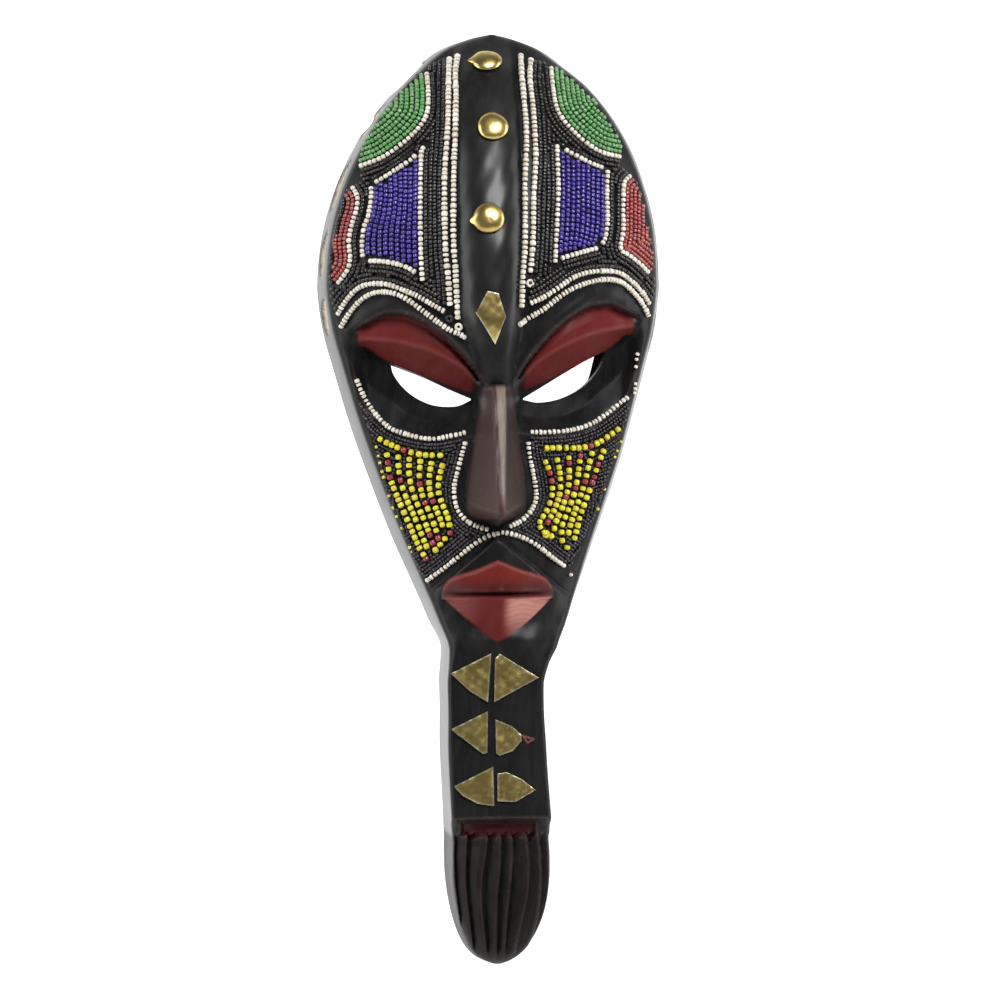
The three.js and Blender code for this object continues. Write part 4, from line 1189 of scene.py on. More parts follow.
STRANDS: dict[str, tuple[Point, ...]] = {
    "crest_strand_left_outer": (
        (-15.6, 388.5), (-16.5, 381), (-17.2, 371), (-18, 359), (-19, 348), (-20, 338),
        (-20.5, 327), (-20.6, 312), (-20.4, 302), (-19.6, 294), (-18.8, 281)),
    "crest_strand_left_inner": (
        (-12, 389.6), (-13.4, 381), (-13.6, 373), (-14.4, 357), (-15.4, 343), (-16.4, 331),
        (-17.1, 317), (-17, 303), (-16.2, 294), (-15.4, 285), (-15.1, 276)),
    "crest_strand_right_inner": (
        (14.2, 389.8), (13.8, 381), (14, 370), (14.3, 358), (14.1, 349), (13.3, 339), (12.5, 327),
        (11.8, 312), (10.9, 300), (10.2, 292), (9.6, 279)),
    "crest_strand_right_outer": (
        (18.4, 387.6), (17.2, 378.6), (17.7, 367), (17.9, 355), (17.8, 344), (17.1, 335),
        (16.2, 325), (15.8, 312), (14.8, 299), (14.2, 294)),
    "brow_strand_left_upper": (
        (-64.8, 279), (-60.6, 285.5), (-55.8, 290), (-50.3, 291.4), (-44, 290.8), (-38.4, 288.6),
        (-32.6, 286), (-26.4, 282.2), (-21, 279)),
    "brow_strand_left_lower": (
        (-63.6, 273.6), (-59.2, 280.4), (-54, 285.6), (-48.5, 287.8), (-42, 287.2), (-36.6, 284.4),
        (-31, 280), (-24.6, 275.2), (-19, 271.2), (-15, 269.6), (-11.6, 268.4)),
    "brow_strand_right_upper": (
        (14, 281.9), (20, 284.7), (25.8, 288.4), (32.4, 292.8), (39.3, 295.2), (47.3, 296),
        (53.6, 295.2), (59.7, 291.3), (64.4, 286.8), (67, 283)),
    "brow_strand_right_lower": (
        (8.6, 273), (13.4, 276), (20, 279.7), (25.8, 284.2), (31.6, 288), (39.3, 291),
        (47.3, 292.5), (54, 291.5), (59.4, 287.6), (64, 282.6), (66.6, 278)),
    "eye_strand_left": (
        (-58, 252), (-54.6, 243.4), (-48.7, 235), (-42.5, 229.8), (-33.3, 226.6), (-25, 225.6),
        (-16.7, 226.8), (-11.4, 228)),
    "eye_strand_right": (
        (14.6, 228.1), (21.3, 227.8), (32.2, 228.6), (41, 231), (47.6, 234.8), (54.4, 240),
        (58.4, 244)),
    "nose_strand_left": (
        (-12.1, 225), (-13.6, 220), (-15, 214.6), (-16.8, 207.4), (-17, 201.8), (-15.7, 196),
        (-12, 191.4), (-7.6, 189), (-3.4, 187.6)),
    "nose_strand_right": (
        (13.8, 224.6), (14.3, 219), (15.5, 212.6), (16.6, 206), (16.8, 200.5), (14.8, 195.6),
        (11, 191.6), (7, 189.4), (5.4, 188.7)),
    "lip_strand": (
        (-28.6, 165.9), (-22.3, 170.7), (-16, 175.8), (-8.6, 181.8), (-3, 185), (0.9, 186.2),
        (3.7, 186.2), (8.4, 185), (13.2, 183), (18, 180), (23.8, 175.4), (29.2, 171.6)),
    "green_border_left": (
        (-25.4, 382), (-25.4, 371.4), (-26.4, 363), (-29.8, 357.2), (-34.5, 352.4), (-40.2, 348),
        (-45.8, 344.6), (-51.2, 342.8), (-55, 341.6)),
    "green_border_right": (
        (27, 384.4), (26.9, 375), (27.8, 365.8), (30.6, 359.8), (35.6, 354.2), (41.2, 349.6),
        (47.2, 346.6), (55, 345.4)),
    "red_border_left": (
        (-58, 333.4), (-55.8, 328.6), (-56.4, 322.6), (-58.2, 317), (-59.6, 309.6), (-59.2, 303),
        (-60.4, 297.6), (-65, 291.6)),
    "red_border_right": (
        (59.6, 337.6), (56.3, 333.6), (55.4, 323), (55, 313.4), (53.8, 305.6), (57.8, 303),
        (63, 299.4), (67, 295.8)),
}

BLUE_FRAMES: dict[Side, tuple[tuple[Point, ...], ...]] = {
    Side.LEFT: (
        ((-27.9, 348.8), (-29.4, 344.6), (-30.4, 322), (-30.5, 303), (-30, 292.4)),
        ((-32.6, 295.2), (-36, 297.4), (-41.2, 299.4), (-47.4, 300.6), (-52, 300.9)),
        ((-53.9, 302.4), (-54.3, 306.4), (-53.6, 314), (-51.4, 320.4), (-50, 328.8), (-50.2, 332.6)),
        ((-48.6, 334), (-42, 337.8), (-35.2, 342), (-31.8, 344.6))),
    Side.RIGHT: (
        ((27.1, 349.2), (26.9, 331), (26, 317), (25.3, 307.4), (24.8, 298.6)),
        ((27.2, 300.6), (31.6, 302), (38.2, 304), (43.2, 305.4)),
        ((45.2, 307), (46.9, 310.2), (48, 317.6), (48.2, 328.4), (49, 338.8)),
        ((47.2, 339.9), (41.8, 341.6), (36.8, 343.8), (30.4, 347))),
}
GREEN_OUTER: dict[Side, tuple[Point, ...]] = {
    Side.LEFT: ((-55.8, 343.4), (-53.4, 351.2), (-50, 358), (-44, 365.8), (-36.4, 373.4),
                (-28, 381.4)),
    Side.RIGHT: ((56.4, 347.4), (55.4, 351.4), (51.2, 360.4), (45.8, 369.2), (38.3, 377),
                 (29.4, 384)),
}
RED_OUTER: dict[Side, tuple[Point, ...]] = {
    Side.LEFT: ((-67, 293.4), (-67, 300), (-65.7, 310), (-63.2, 319.6), (-60, 331)),
    Side.RIGHT: ((68.6, 297.8), (68.5, 304.8), (66.7, 314.2), (64.8, 325.8), (61.4, 335.6)),
}
CROWN_OUTER: dict[Side, tuple[Point, ...]] = {
    Side.LEFT: ((-66.8, 284.4), (-67.6, 291), (-68, 300), (-66.8, 310), (-64.4, 320), (-60.8, 331.6),
                (-58.6, 338), (-55.6, 346), (-50.6, 357), (-44.4, 366), (-36.6, 374), (-28.5, 382.4),
                (-20.6, 388)),
    Side.RIGHT: ((69, 286), (69.4, 294), (69, 304), (67.2, 314), (65.2, 325), (61.8, 337),
                 (59.6, 341), (56.6, 350), (51.6, 361), (46, 370), (38.4, 378), (30, 385),
                 (22.4, 387.6)),
}
CHEEK_OUTER: dict[Side, tuple[Point, ...]] = {
    Side.LEFT: ((-56, 241), (-52.4, 231), (-48.4, 217), (-44, 202), (-39.4, 188), (-34, 174),
                (-31, 166.6)),
    Side.RIGHT: ((59, 240), (54.6, 227), (49.6, 212), (44.4, 197), (38.6, 184), (32, 172)),
}
# The outer and the inner edge of the yellow columns, from the top down, and the row over them.
YELLOW_EDGES: dict[Side, tuple[tuple[Point, ...], tuple[Point, ...], tuple[Point, ...]]] = {
    Side.LEFT: (
        ((-44.6, 221), (-43.4, 211), (-40.4, 202.4), (-36.4, 193), (-31.4, 181), (-27.9, 174.9)),
        ((-21.4, 216), (-23, 210), (-23.4, 204), (-21.6, 198), (-19.2, 191.4), (-18.6, 184)),
        ((-48.4, 227), (-42.2, 223.6), (-35.8, 221), (-29.3, 219.4), (-20.4, 219))),
    Side.RIGHT: (
        ((47, 221.6), (44, 214.6), (41.8, 208), (38.8, 200.6), (35.6, 192), (31.9, 178)),
        ((20.6, 217), (23, 210.4), (23.8, 203), (21.6, 196), (18, 189.4), (22, 184)),
        ((20.3, 221.6), (28.2, 221.8), (36, 221.8), (43, 223.4), (49.1, 227), (55, 231))),
}
# Lines along which a few small yellow beads are strewn outside the columns.
STREWN: dict[Side, tuple[Point, ...]] = {
    Side.LEFT: ((-49.4, 224), (-47, 214), (-44.4, 204), (-41.4, 195), (-37.6, 186), (-33.4, 176)),
    Side.RIGHT: ((56.4, 228), (51.6, 217), (48.6, 208), (45.4, 199), (41.6, 190), (37.4, 181)),
}
LOOSE_BEADS: tuple[tuple[str, str, Point], ...] = (
    ("ring_bead_left", "white", (-15.3, 272.6)), ("ring_bead_dark", "black", (-19.1, 276)),
    ("ring_bead_right", "white", (14.3, 290.3)), ("ring_bead_yellow", "yellow", (21, 185.4)))
# Lines along which a few white beads are left of a worn strand.
STRAYS: tuple[tuple[Point, ...], ...] = (
    ((62.9, 262.5), (62.2, 258.5), (61.6, 254)), ((61.3, 250), (60.8, 244)),
    ((31.4, 168.6), (33, 166.6)))
YELLOW_COLUMNS = 6


@dataclass(frozen=True)
class BorderedField:
    """How a coloured field is set in rows beside its border; lengths in millimetres."""

    colour: str
    node: str
    seed: int
    kind: BeadKind
    first: float
    pitch: float
    count: int
    room: float
    clear: float


class Beadwork:
    """All the strands and fields of beads on the front of the mask."""

    white = BeadKind(radius=1.3, long=1.75, gap=0.38, uneven=0.35)
    border = BeadKind(radius=1.12, long=1.7, gap=0.42, uneven=0.25)
    brow = BeadKind(radius=1.18, long=1.2, gap=0.42, uneven=0.3, tilt=9)
    under = BeadKind(radius=1.1, long=1.35, gap=0.5, uneven=0.35, tilt=12)
    stray = BeadKind(radius=0.85, long=1.2, gap=1.3, uneven=0.4, tilt=25)
    black = BeadKind(radius=0.88, long=1.45, gap=0.2, uneven=0.25, tilt=9)
    colour = BeadKind(radius=1.0, long=1.7, gap=0.32, uneven=0.2, tilt=8)
    blue = BeadKind(radius=1.06, long=1.7, gap=0.26, uneven=0.2, tilt=7)
    red = BeadKind(radius=0.86, long=1.5, gap=0.24, uneven=0.22, tilt=9)
    yellow = BeadKind(radius=1.32, long=2.1, gap=0.85, uneven=0.22, tilt=9)
    speck = BeadKind(radius=0.75, long=1.1, gap=2.6, uneven=0.4, tilt=30, missing=0.35)
    grit = BeadKind(radius=0.62, long=1.15, gap=0.25, uneven=0.5, tilt=35, turned=0.2)
    green_field = BorderedField("green", "green_fan", 300, colour, first=2.4, pitch=2.13, count=12,
                                room=1.62, clear=2.0)
    red_field = BorderedField("red", "red_field", 500, red, first=2.05, pitch=1.85, count=8,
                              room=1.35, clear=1.75)

    def __init__(self, materials: Materials) -> None:
        """Keep the finishes and work out the lines that the strands run along."""
        self.materials = materials
        self.box = BeadBox()
        self.lines = {name: smooth_line(points) for name, points in STRANDS.items()}
        self.frames = {side: [smooth_line(leg) for leg in legs]
                       for side, legs in BLUE_FRAMES.items()}

    def build(self) -> None:
        """Set every strand and every field."""
        for number, (name, line) in enumerate(self.lines.items()):
            self.strand(number, name, line)
        self.loose_beads()
        self.strays()
        for side in Side:
            self.blue_frame(side)
            self.bordered_field(self.green_field, side)
            self.blue_panel(side)
            self.bordered_field(self.red_field, side)
            self.crown_field(side)
            self.cheek(side)

    def strand(self, number: int, name: str, line: np.ndarray) -> None:
        """Set one white strand along its line.

        Args:
            number: the strand's number, which seeds its unevenness.
            name: the CAD node that the strand stands for.
            line: the places that it runs through.
        """
        kind = self.white
        if name.startswith("brow"):
            kind = self.brow
        elif name.startswith(("eye", "nose", "lip")):
            kind = self.under
        elif "border" in name:
            kind = self.border
        dice = np.random.default_rng(100 + number)
        rows = [self.box.thread(line, kind, dice)]
        piece = self.box.string(name, rows, kind, dice)
        self.finish(piece, f"{name}_beads", self.materials.white, name)

    def strays(self) -> None:
        """Set the few white beads that are left past the ends of the strands."""
        dice = np.random.default_rng(90)
        rows = [self.box.thread(smooth_line(line), self.stray, dice) for line in STRAYS]
        piece = self.box.string("strays", rows, self.stray, dice)
        self.finish(piece, "stray_white_beads", self.materials.white, None)

    def loose_beads(self) -> None:
        """Set the single beads that lie on their side with the hole in view."""
        for name, colour, spot in LOOSE_BEADS:
            foot, normal = surface(np.array([spot]))
            turn = Vector(normal[0]).to_track_quat("Z", "Y").to_euler()
            deselect()
            bpy.ops.mesh.primitive_torus_add(
                location=foot[0] + normal[0] * 0.75 * MM, rotation=turn, major_segments=20,
                minor_segments=10, major_radius=1.15 * MM, minor_radius=0.62 * MM)
            bead = bpy.context.object
            settle(bead)
            count = len(bead.data.vertices)
            write_attribute(bead, "tint", np.full(count, 0.3))
            write_attribute(bead, "second", np.zeros(count))
            smooth(bead, 60)
            self.finish(bead, name, getattr(self.materials, colour), None)

    def finish(self, piece: bpy.types.Object, name: str, material: bpy.types.Material,
               node: str | None) -> None:
        """Hand a bead piece over to the frame."""
        hand_over(piece, name, material, [node] if node else [])

    def blue_frame(self, side: Side) -> None:
        """Set the four sides of the white frame round a blue panel."""
        dice = np.random.default_rng(200 + len(side.value))
        rows = [self.box.thread(leg, self.border, dice) for leg in self.frames[side]]
        piece = self.box.string("frame", rows, self.border, dice)
        self.finish(piece, f"blue_border_{side.value}_beads", self.materials.white,
                    f"blue_border_{side.value}")

    def outlines(self, side: Side) -> dict[str, np.ndarray]:
        """Return the closed outlines of the coloured fields on one side."""
        bordered = {colour: np.vstack([self.lines[f"{colour}_border_{side.value}"], outer[side]])
                    for colour, outer in (("green", GREEN_OUTER), ("red", RED_OUTER))}
        return {**bordered, "blue": np.vstack(self.frames[side])}

    def rows_beside(self, line: np.ndarray, first: float, pitch: float, count: int, kind: BeadKind,
                    dice: np.random.Generator) -> list[Row]:
        """Set rows beside a line, each a pitch further off; a negative pitch goes to its right."""
        rows = []
        for number in range(count):
            moved = sideways(line, first + pitch * number)
            ahead = np.einsum("ij,ij->i", np.gradient(moved, axis=0), np.gradient(line, axis=0)) > 0
            if ahead.sum() > 3:
                rows.append(self.box.thread(moved[ahead], kind, dice))
        return rows

    def fill(self, rows: Sequence[Row], outline: np.ndarray, room: float,
             blocked: Sequence[np.ndarray], block_room: float) -> list[Row]:
        """Keep the beads that lie in an outline, clear of lines and of each other.

        Args:
            rows: the rows that are tried, first ones first.
            outline: the closed outline of the field.
            room: the least distance between beads of different rows.
            blocked: lines or places that the beads stay clear of.
            block_room: how far they stay clear of those.

        Returns:
            The rows that fit.
        """
        kept: list[Row] = []
        for row in rows:
            if not len(row.places):
                continue
            x, height = row.places[:, 0], row.places[:, 1]
            on_face = RELIEF.front_outline(height) - np.abs(x - RELIEF.lean(height)) > 1.0
            good = on_face & inside(outline, row.places) & ~near(row.places, blocked, block_room)
            row = keep(row, good)
            if len(row.places):
                row = keep(row, ~near(row.places, [done.places for done in kept], room))
            if len(row.places):
                kept.append(row)
        return kept

    def bordered_field(self, made: BorderedField, side: Side) -> None:
        """Set the rows of a coloured field that follow its border.

        Args:
            made: how the field is set.
            side: the side of the mask.
        """
        dice = np.random.default_rng(made.seed + len(side.value))
        turn = -1 if side is Side.LEFT else 1
        line = self.lines[f"{made.colour}_border_{side.value}"]
        rows = self.rows_beside(line, turn * made.first, turn * made.pitch, made.count, made.kind,
                                dice)
        rows = self.fill(rows, self.outlines(side)[made.colour], made.room, [line], made.clear)
        piece = self.box.string(made.colour, rows, made.kind, dice)
        node = f"{made.node}_{side.value}"
        self.finish(piece, f"{node}_beads", getattr(self.materials, made.colour),
                    node)

    def blue_panel(self, side: Side) -> None:
        """Set the columns of the blue panel, which spread with its two sides.

        Args:
            side: the side of the mask.
        """
        dice = np.random.default_rng(400 + len(side.value))
        legs = self.frames[side]
        inner, outer = legs[0][::-1], legs[2]
        heights = np.arange(290, 349, 0.5)
        inner_x = np.interp(heights, inner[:, 1], inner[:, 0])
        outer_x = np.interp(heights, outer[:, 1], outer[:, 0])
        columns = round(float(np.abs(outer_x - inner_x).mean()) / 2.2)
        rows = []
        for column in range(1, columns):
            share = column / columns
            line = np.column_stack([inner_x + (outer_x - inner_x) * share, heights])
            rows.append(self.box.thread(line[::-1], self.blue, dice))
        frame_line = np.vstack(legs)
        rows = self.fill(rows, frame_line, 1.4, [frame_line], 1.95)
        piece = self.box.string("blue", rows, self.blue, dice)
        self.finish(piece, f"blue_panel_{side.value}_beads", self.materials.blue,
                    f"blue_panel_{side.value}")

    def crown_field(self, side: Side) -> None:
        """Fill the crown between the strands with rows of black beads that follow them.

        Args:
            side: the side of the mask.
        """
        dice = np.random.default_rng(600 + len(side.value))
        crest = self.lines[f"crest_strand_{side.value}_outer"]
        brow = self.lines[f"brow_strand_{side.value}_upper"]
        brow_outwards = brow[::-1] if side is Side.LEFT else brow
        outline = np.vstack([crest, brow_outwards, np.array(CROWN_OUTER[side])])
        turn = -1 if side is Side.LEFT else 1
        borders = [crest, self.lines[f"green_border_{side.value}"],
                   self.lines[f"red_border_{side.value}"], *self.frames[side], brow]
        rows: list[Row] = []
        for number in range(7):
            for border in borders:
                for way in (turn, -turn):
                    rows += self.rows_beside(border, way * (2.15 + 1.9 * number), 1, 1, self.black,
                                             dice)
        coloured = self.outlines(side)
        rows = [keep(row, ~(inside(coloured["green"], row.places)
                            | inside(coloured["blue"], row.places)
                            | inside(coloured["red"], row.places))) for row in rows
                if len(row.places)]
        inner = self.lines[f"crest_strand_{side.value}_inner"]
        rows = self.fill(rows, outline, 1.4, [*borders, inner], 1.9)
        piece = self.box.string("crown", rows, self.black, dice)
        self.finish(piece, f"crown_field_{side.value}_beads", self.materials.black,
                    f"crown_field_{side.value}")

    def cheek(self, side: Side) -> None:
        """Set the yellow columns of one cheek and the black grit round them.

        Args:
            side: the side of the mask.
        """
        dice = np.random.default_rng(700 + len(side.value))
        outer, inner, top = (smooth_line(points, 1.0) for points in YELLOW_EDGES[side])
        share_at = np.linspace(0, 1, 60)[:, None]
        outer, inner = (np.column_stack([np.interp(share_at[:, 0], np.linspace(0, 1, len(edge)),
                                                   edge[:, i]) for i in range(2)])
                        for edge in (outer, inner))
        rows = [self.box.thread(top, self.yellow, dice)]
        for column in range(YELLOW_COLUMNS):
            share = column / (YELLOW_COLUMNS - 1)
            rows.append(self.box.thread(inner + (outer - inner) * share, self.yellow, dice))
        white = [self.lines[f"{name}_strand_{side.value}"] for name in ("eye", "nose")]
        white.append(self.lines["lip_strand"])
        edge = self.cheek_outline(side)
        rows = self.fill(rows, edge, 2.7, white, 3.0)
        strewn = self.box.thread(smooth_line(STREWN[side], 1.0), self.speck, dice)
        specks = self.box.string("specks", [strewn], self.speck, dice)
        self.finish(specks, f"strewn_beads_{side.value}", self.materials.yellow,
                    None)
        piece = self.box.string("yellow", rows, self.yellow, dice, second=0.14)
        self.finish(piece, f"yellow_field_{side.value}_beads", self.materials.yellow,
                    f"yellow_field_{side.value}")
        set_beads = [row.places for row in rows]
        grit: list[Row] = []
        for number in range(30):
            for line in white:
                for way in (1, -1):
                    grit += self.rows_beside(line, way * (2.0 + 1.45 * number), 1, 1, self.grit,
                                             dice)
        grit = self.fill(grit, edge, 1.12, white, 1.75)
        grit = [keep(row, ~near(row.places, set_beads, 1.85)) for row in grit]
        grit = [row for row in grit if len(row.places)]
        piece = self.box.string("grit", grit, self.grit, dice, second=0.08)
        self.finish(piece, f"cheek_field_{side.value}_beads", self.materials.grit,
                    f"cheek_field_{side.value}")

    def cheek_outline(self, side: Side) -> np.ndarray:
        """Return the closed outline of one cheek between its white strands."""
        lip = self.lines["lip_strand"]
        lip = lip[lip[:, 0] < -5] if side is Side.LEFT else lip[lip[:, 0] > 7][::-1]
        eye = self.lines[f"eye_strand_{side.value}"]
        eye = eye[::-1] if side is Side.LEFT else eye
        nose = self.lines[f"nose_strand_{side.value}"][::-1]
        return np.vstack([eye[:-8], np.array(CHEEK_OUTER[side]), lip, nose])


# ------------------------------------------------------------------ brass
@dataclass
class BrassTrim:
    """The three tacks on the crest, the lozenge and the six triangles."""

    thick: float = 0.9
    raise_: float = 0.25
    hammer: float = 0.07
    boss_radius: float = 6.5
    boss_rise: float = 3.1
    boss_lift: float = 0.7
    tails: tuple[Point, ...] = ((172, 0.30), (95, 0.10), (188, 0.26))
    bosses: tuple[Point, ...] = ((-0.7, 386), (0, 356), (-3, 316.8))
    lozenge: tuple[Point, ...] = (
        (-8.8, 277.6), (-4.1, 286.5), (0.5, 285.5), (3.6, 276), (-0.8, 264.6))
    triangles: tuple[tuple[Point, ...], ...] = (
        ((-20, 127.6), (-3, 135.8), (-4.6, 115.4), (-12.4, 120.4)),
        ((-1.4, 133.6), (0.6, 135.6), (16.8, 125.4), (-2, 115.4)),
        ((-20.2, 104.3), (-4.7, 111.6), (-5.1, 94.4), (-6.9, 93.8)),
        ((-1.5, 108.1), (5.6, 105), (9.3, 101.6), (9.3, 99), (5.6, 94.9), (0, 93), (-1.4, 94)),
        ((-19.2, 80.4), (-2.7, 88.4), (-2.5, 72), (-9.5, 73.1), (-15.8, 76.6)),
        ((-0.9, 85.4), (2.8, 86), (9.6, 82.8), (15, 78.3), (6.4, 73.5), (-1, 74)))

    def build(self, materials: Materials) -> None:
        """Cut, beat and fix every piece of brass."""
        for number, spot in enumerate(self.bosses, 1):
            piece = self.boss(spot, number)
            brass = materials.sheet if number == 1 else materials.boss
            hand_over(piece, f"domed_tack_{number}", brass, [f"brass_boss_{number}"])
        piece = self.plate(self.lozenge, 7)
        hand_over(piece, "beaten_lozenge", materials.sheet, ["brass_lozenge"])
        for number, outline in enumerate(self.triangles, 1):
            piece = self.plate(outline, number)
            hand_over(piece, f"beaten_triangle_{number}", materials.sheet,
                      [f"brass_triangle_{number}"])

    def plate(self, outline: Sequence[Point], number: int) -> bpy.types.Object:
        """Cut one plate to its outline, lay it on the wood and beat it.

        Args:
            outline: the plate's corners across and up, in millimetres.
            number: the plate's number, which makes its hammer marks its own.

        Returns:
            The plate.
        """
        corners = np.array(outline)
        middle = corners.mean(axis=0)
        size = float(np.abs(corners - middle).max()) + 1.5
        deselect()
        bpy.ops.mesh.primitive_grid_add(x_subdivisions=34, y_subdivisions=34, size=2)
        piece = bpy.context.object
        points = read_points(piece)
        points[:, :2] = points[:, :2] * size + middle
        write_points(piece, points)
        sides = list(zip(corners, np.roll(corners, -1, axis=0)))
        turn = np.sign(sum(a[0] * b[1] - b[0] * a[1] for a, b in sides))
        bpy.ops.object.mode_set(mode="EDIT")
        for here, there in sides:
            along = (there - here) / np.linalg.norm(there - here)
            outwards = turn * np.array([along[1], -along[0]])
            bpy.ops.mesh.select_all(action="SELECT")
            bpy.ops.mesh.bisect(plane_co=(here[0], here[1], 0), clear_outer=True,
                                plane_no=(outwards[0], outwards[1], 0), threshold=1e-5)
        bpy.ops.mesh.select_all(action="SELECT")
        bpy.ops.mesh.remove_doubles(threshold=0.02)
        bpy.ops.object.mode_set(mode="OBJECT")
        points = read_points(piece)
        x, height = points[:, 0], points[:, 1]
        dents = (np.sin(1.1 * x + number) * np.sin(1.3 * height + 2.1 * number)
                 + 0.6 * np.sin(2.3 * x - 1.7 * height + 0.7 * number))
        lift = np.zeros(len(x))
        for index, corner in enumerate(corners):
            curl = 0.2 + 0.25 * math.sin(3.7 * index + number)
            lift += curl * np.exp(-np.hypot(x - corner[0], height - corner[1]) / 2.2)
        depth = self.lie(x, height) + self.raise_ + self.hammer * dents + 0.5 * lift
        write_points(piece, place(x, height, depth + self.thick))
        solid = piece.modifiers.new("sheet", "SOLIDIFY")
        solid.thickness = self.thick * MM
        solid.offset = -1
        bevel = piece.modifiers.new("edge", "BEVEL")
        bevel.width = 0.22 * MM
        bevel.segments = 2
        bevel.limit_method = "ANGLE"
        bevel.angle_limit = math.radians(50)
        apply_all(piece)
        smooth(piece, 50)
        points = read_points(piece)
        flat = np.column_stack([points[:, 0] / MM, TALL - (TOP_Z - points[:, 2]) / MM])
        edges = np.vstack([np.linspace(a, b, 60) for a, b in sides])
        # Marks the plate's edges, where the brass finish paints a light glint.
        write_attribute(piece, "rim", 1 - ramp(0.2, 0.7, distance_to(edges, flat)))
        return piece

    def lie(self, x: np.ndarray, height: np.ndarray) -> np.ndarray:
        """Return the depth a stiff plate lies at, on the highest wood close to each point."""
        steps = (-0.8, 0, 0.8)
        around = [RELIEF.depth(x + dx, height + dh) for dx in steps for dh in steps]
        return np.max(around, axis=0)

    def boss(self, spot: Point, number: int) -> bpy.types.Object:
        """Raise one domed tack, with the little tail that its edge has.

        Args:
            spot: the tack's place across and up, in millimetres.
            number: the tack's number, from 1 at the top.

        Returns:
            The tack.
        """
        deselect()
        bpy.ops.mesh.primitive_uv_sphere_add(segments=48, ring_count=24, radius=1)
        piece = bpy.context.object
        bpy.ops.object.mode_set(mode="EDIT")
        bpy.ops.mesh.select_all(action="SELECT")
        bpy.ops.mesh.bisect(plane_co=(0, 0, 0), plane_no=(0, 0, -1), clear_outer=True,
                            use_fill=True)
        bpy.ops.object.mode_set(mode="OBJECT")
        points = read_points(piece)
        angle = np.arctan2(points[:, 1], points[:, 0])
        tail_turn, tail_long = self.tails[number - 1]
        tail_at = math.radians(tail_turn)
        off = np.abs((angle - tail_at + math.pi) % (2 * math.pi) - math.pi)
        low = 1 - np.clip(points[:, 2], 0, 1)
        reach = (1 + tail_long * np.exp(-(off / 0.22) ** 2) * low ** 3
                 + 0.02 * np.sin(3 * angle + number))
        dent = 0.05 * np.exp(-((points[:, 0] - 0.1) ** 2 + (points[:, 1] + 0.25) ** 2) / 0.02)
        beat = 0.03 * np.sin(5 * points[:, 0] + number) * np.sin(4 * points[:, 1] + 2 * number)
        radius, rise = self.boss_radius, self.boss_rise
        shape = np.column_stack([points[:, 0] * reach * radius, points[:, 1] * reach * radius,
                                 (points[:, 2] * (1 + beat) - dent * (points[:, 2] > 0.5)) * rise])
        foot, normal = surface(np.array([[spot[0], spot[1]]]))
        upright = Vector(normal[0])
        sideway = Vector((1, 0, 0)) - upright * upright.x
        sideway.normalize()
        other = upright.cross(sideway)
        frame_axes = np.array([sideway, other, upright])
        lift = self.boss_lift * MM
        write_points(piece, foot[0] + normal[0] * lift + shape * MM @ frame_axes)
        solid_rim = piece.modifiers.new("rim", "BEVEL")
        solid_rim.width = 0.35 * MM
        solid_rim.segments = 3
        solid_rim.limit_method = "ANGLE"
        solid_rim.angle_limit = math.radians(60)
        apply_all(piece)
        smooth(piece, 45)
        return piece


# ------------------------------------------------------------------ hanger
@dataclass
class Hanger:
    """The strap, its two screws and the hanging ring at the back."""

    wire: float = 1.0
    ring: float = 9.0

    def build(self, materials: Materials) -> None:
        """Make the ring and dress the strap and the screws."""
        low, high = (Vector(corner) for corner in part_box("hanging_ring"))
        middle = (low + high) / 2
        deselect()
        bpy.ops.mesh.primitive_torus_add(location=middle, rotation=(math.pi / 2, 0, 0),
                                         major_segments=96, minor_segments=20,
                                         major_radius=self.ring * MM, minor_radius=self.wire * MM)
        ring = bpy.context.object
        settle(ring)
        smooth(ring, 60)
        hand_over(ring, "wire_ring", materials.steel, ["hanging_ring"], "ring")
        for node in ("hanger_strap", "hanger_screw_1", "hanger_screw_2"):
            piece = bpy.data.objects[node]
            piece.data.materials.clear()
            piece.data.materials.append(materials.steel)


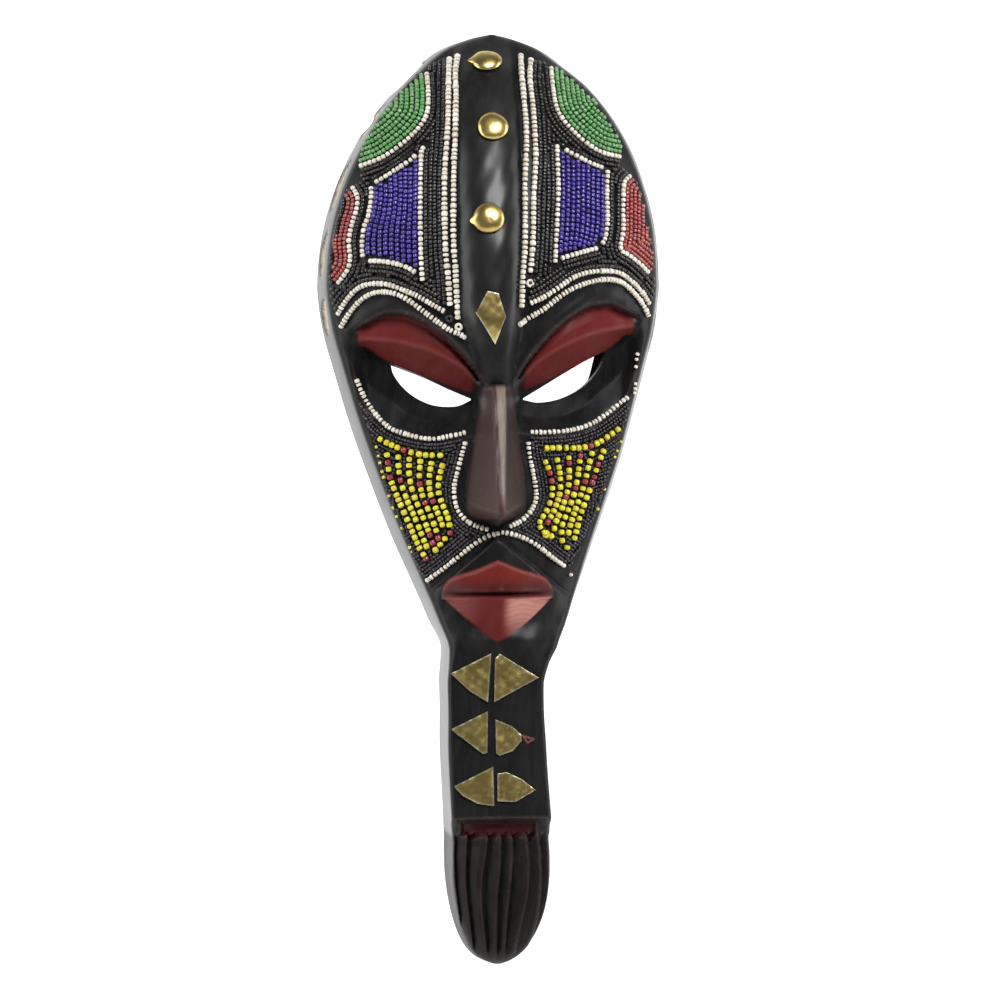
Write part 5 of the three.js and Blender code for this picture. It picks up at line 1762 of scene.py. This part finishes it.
# ------------------------------------------------------------------ surroundings
@dataclass
class Studio:
    """The camera, the lights, the pale floor and the white surroundings."""

    distance: float = 1.3
    azimuth: float = -4.5
    roll: float = 0.6
    shown: float = 0.4225
    focus_depth: float = 35.0
    room: float = 0.1
    backdrop: float = 1.4

    def build(self) -> None:
        """Set up everything round the mask."""
        self.camera()
        self.lights()
        self.floor()

    def camera(self) -> None:
        """Place the camera a little to the left of the face, level with its middle."""
        target = Vector((0.0023, -self.focus_depth * MM, TOP_Z - TALL / 2 * MM))
        turn = math.radians(self.azimuth)
        away = Vector((math.sin(turn), -math.cos(turn), 0)) * self.distance
        data = bpy.data.cameras.new("camera")
        data.sensor_width = 36
        data.lens = data.sensor_width * self.distance / self.shown
        data.clip_start = 0.05
        camera = bpy.data.objects.new("camera", data)
        camera.location = target + away
        camera.rotation_euler = (math.pi / 2, math.radians(self.roll), turn)
        bpy.context.collection.objects.link(camera)
        bpy.context.scene.camera = camera

    def area(self, name: str, at: Sequence[float], size: Sequence[float], watts: float) -> None:
        """Hang one soft light that faces the mask.

        Args:
            name: the light's name.
            at: its place, in metres.
            size: its width and height.
            watts: its power.
        """
        data = bpy.data.lights.new(name, "AREA")
        data.shape = "RECTANGLE"
        data.size, data.size_y = size
        data.energy = watts
        light = bpy.data.objects.new(name, data)
        light.location = at
        aim = Vector((0, -0.03, TOP_Z - TALL / 2 * MM)) - Vector(at)
        light.rotation_euler = aim.to_track_quat("-Z", "Y").to_euler()
        bpy.context.collection.objects.link(light)

    def lights(self) -> None:
        """Light the mask softly from the front, with strips that draw out its edges."""
        self.area("key", (0.35, -1.3, 0.75), (0.6, 0.6), 26)
        self.area("left_strip", (-1.1, -0.12, -0.1), (0.5, 1.3), 9)
        self.area("right_strip", (1.0, -0.12, -0.1), (0.3, 1.2), 6)
        world = bpy.data.worlds.new("studio")
        world.use_nodes = True
        tree = Tree(world.node_tree)
        background = world.node_tree.nodes["Background"]
        background.inputs["Color"].default_value = (1, 1, 1, 1)
        seen = tree.add("LightPath").outputs["Is Camera Ray"]
        way = tree.add("SeparateXYZ", {0: tree.add("TexCoord").outputs["Generated"]}).outputs["Y"]
        backdrop = tree.fit(way, 0.1, 0.75, self.room, self.backdrop)
        tree.tree.links.new(tree.math("MAXIMUM", seen, backdrop), background.inputs["Strength"])
        bpy.context.scene.world = world
        bpy.context.scene.view_settings.view_transform = "Standard"

    def floor(self) -> None:
        """Lay the pale floor well below the mask."""
        deselect()
        bpy.ops.mesh.primitive_plane_add(size=3, location=(0, 0, TOP_Z - 1.0))
        floor = bpy.context.object
        floor.name = "floor"
        material, tree, shader = new_material("pale_floor")
        at = tree.add("TexCoord").outputs["Object"]
        shade = tree.mix(tree.noise(at, 3), rgba((0.84, 0.84, 0.83)), rgba((0.88, 0.88, 0.87)))
        tree.tree.links.new(shade, shader.inputs["Base Color"])
        shader.inputs["Roughness"].default_value = 0.7
        floor.data.materials.append(material)
        settle(floor)


def main() -> None:
    """Build the studio and the mask, sub-assembly by sub-assembly."""
    logging.basicConfig(level=logging.INFO, format="%(message)s")
    Studio().build()
    materials = Materials()
    CarvedBlock().build(materials)
    Beadwork(materials).build()
    BrassTrim().build(materials)
    Hanger().build(materials)


if __name__ == "__main__":
    main()
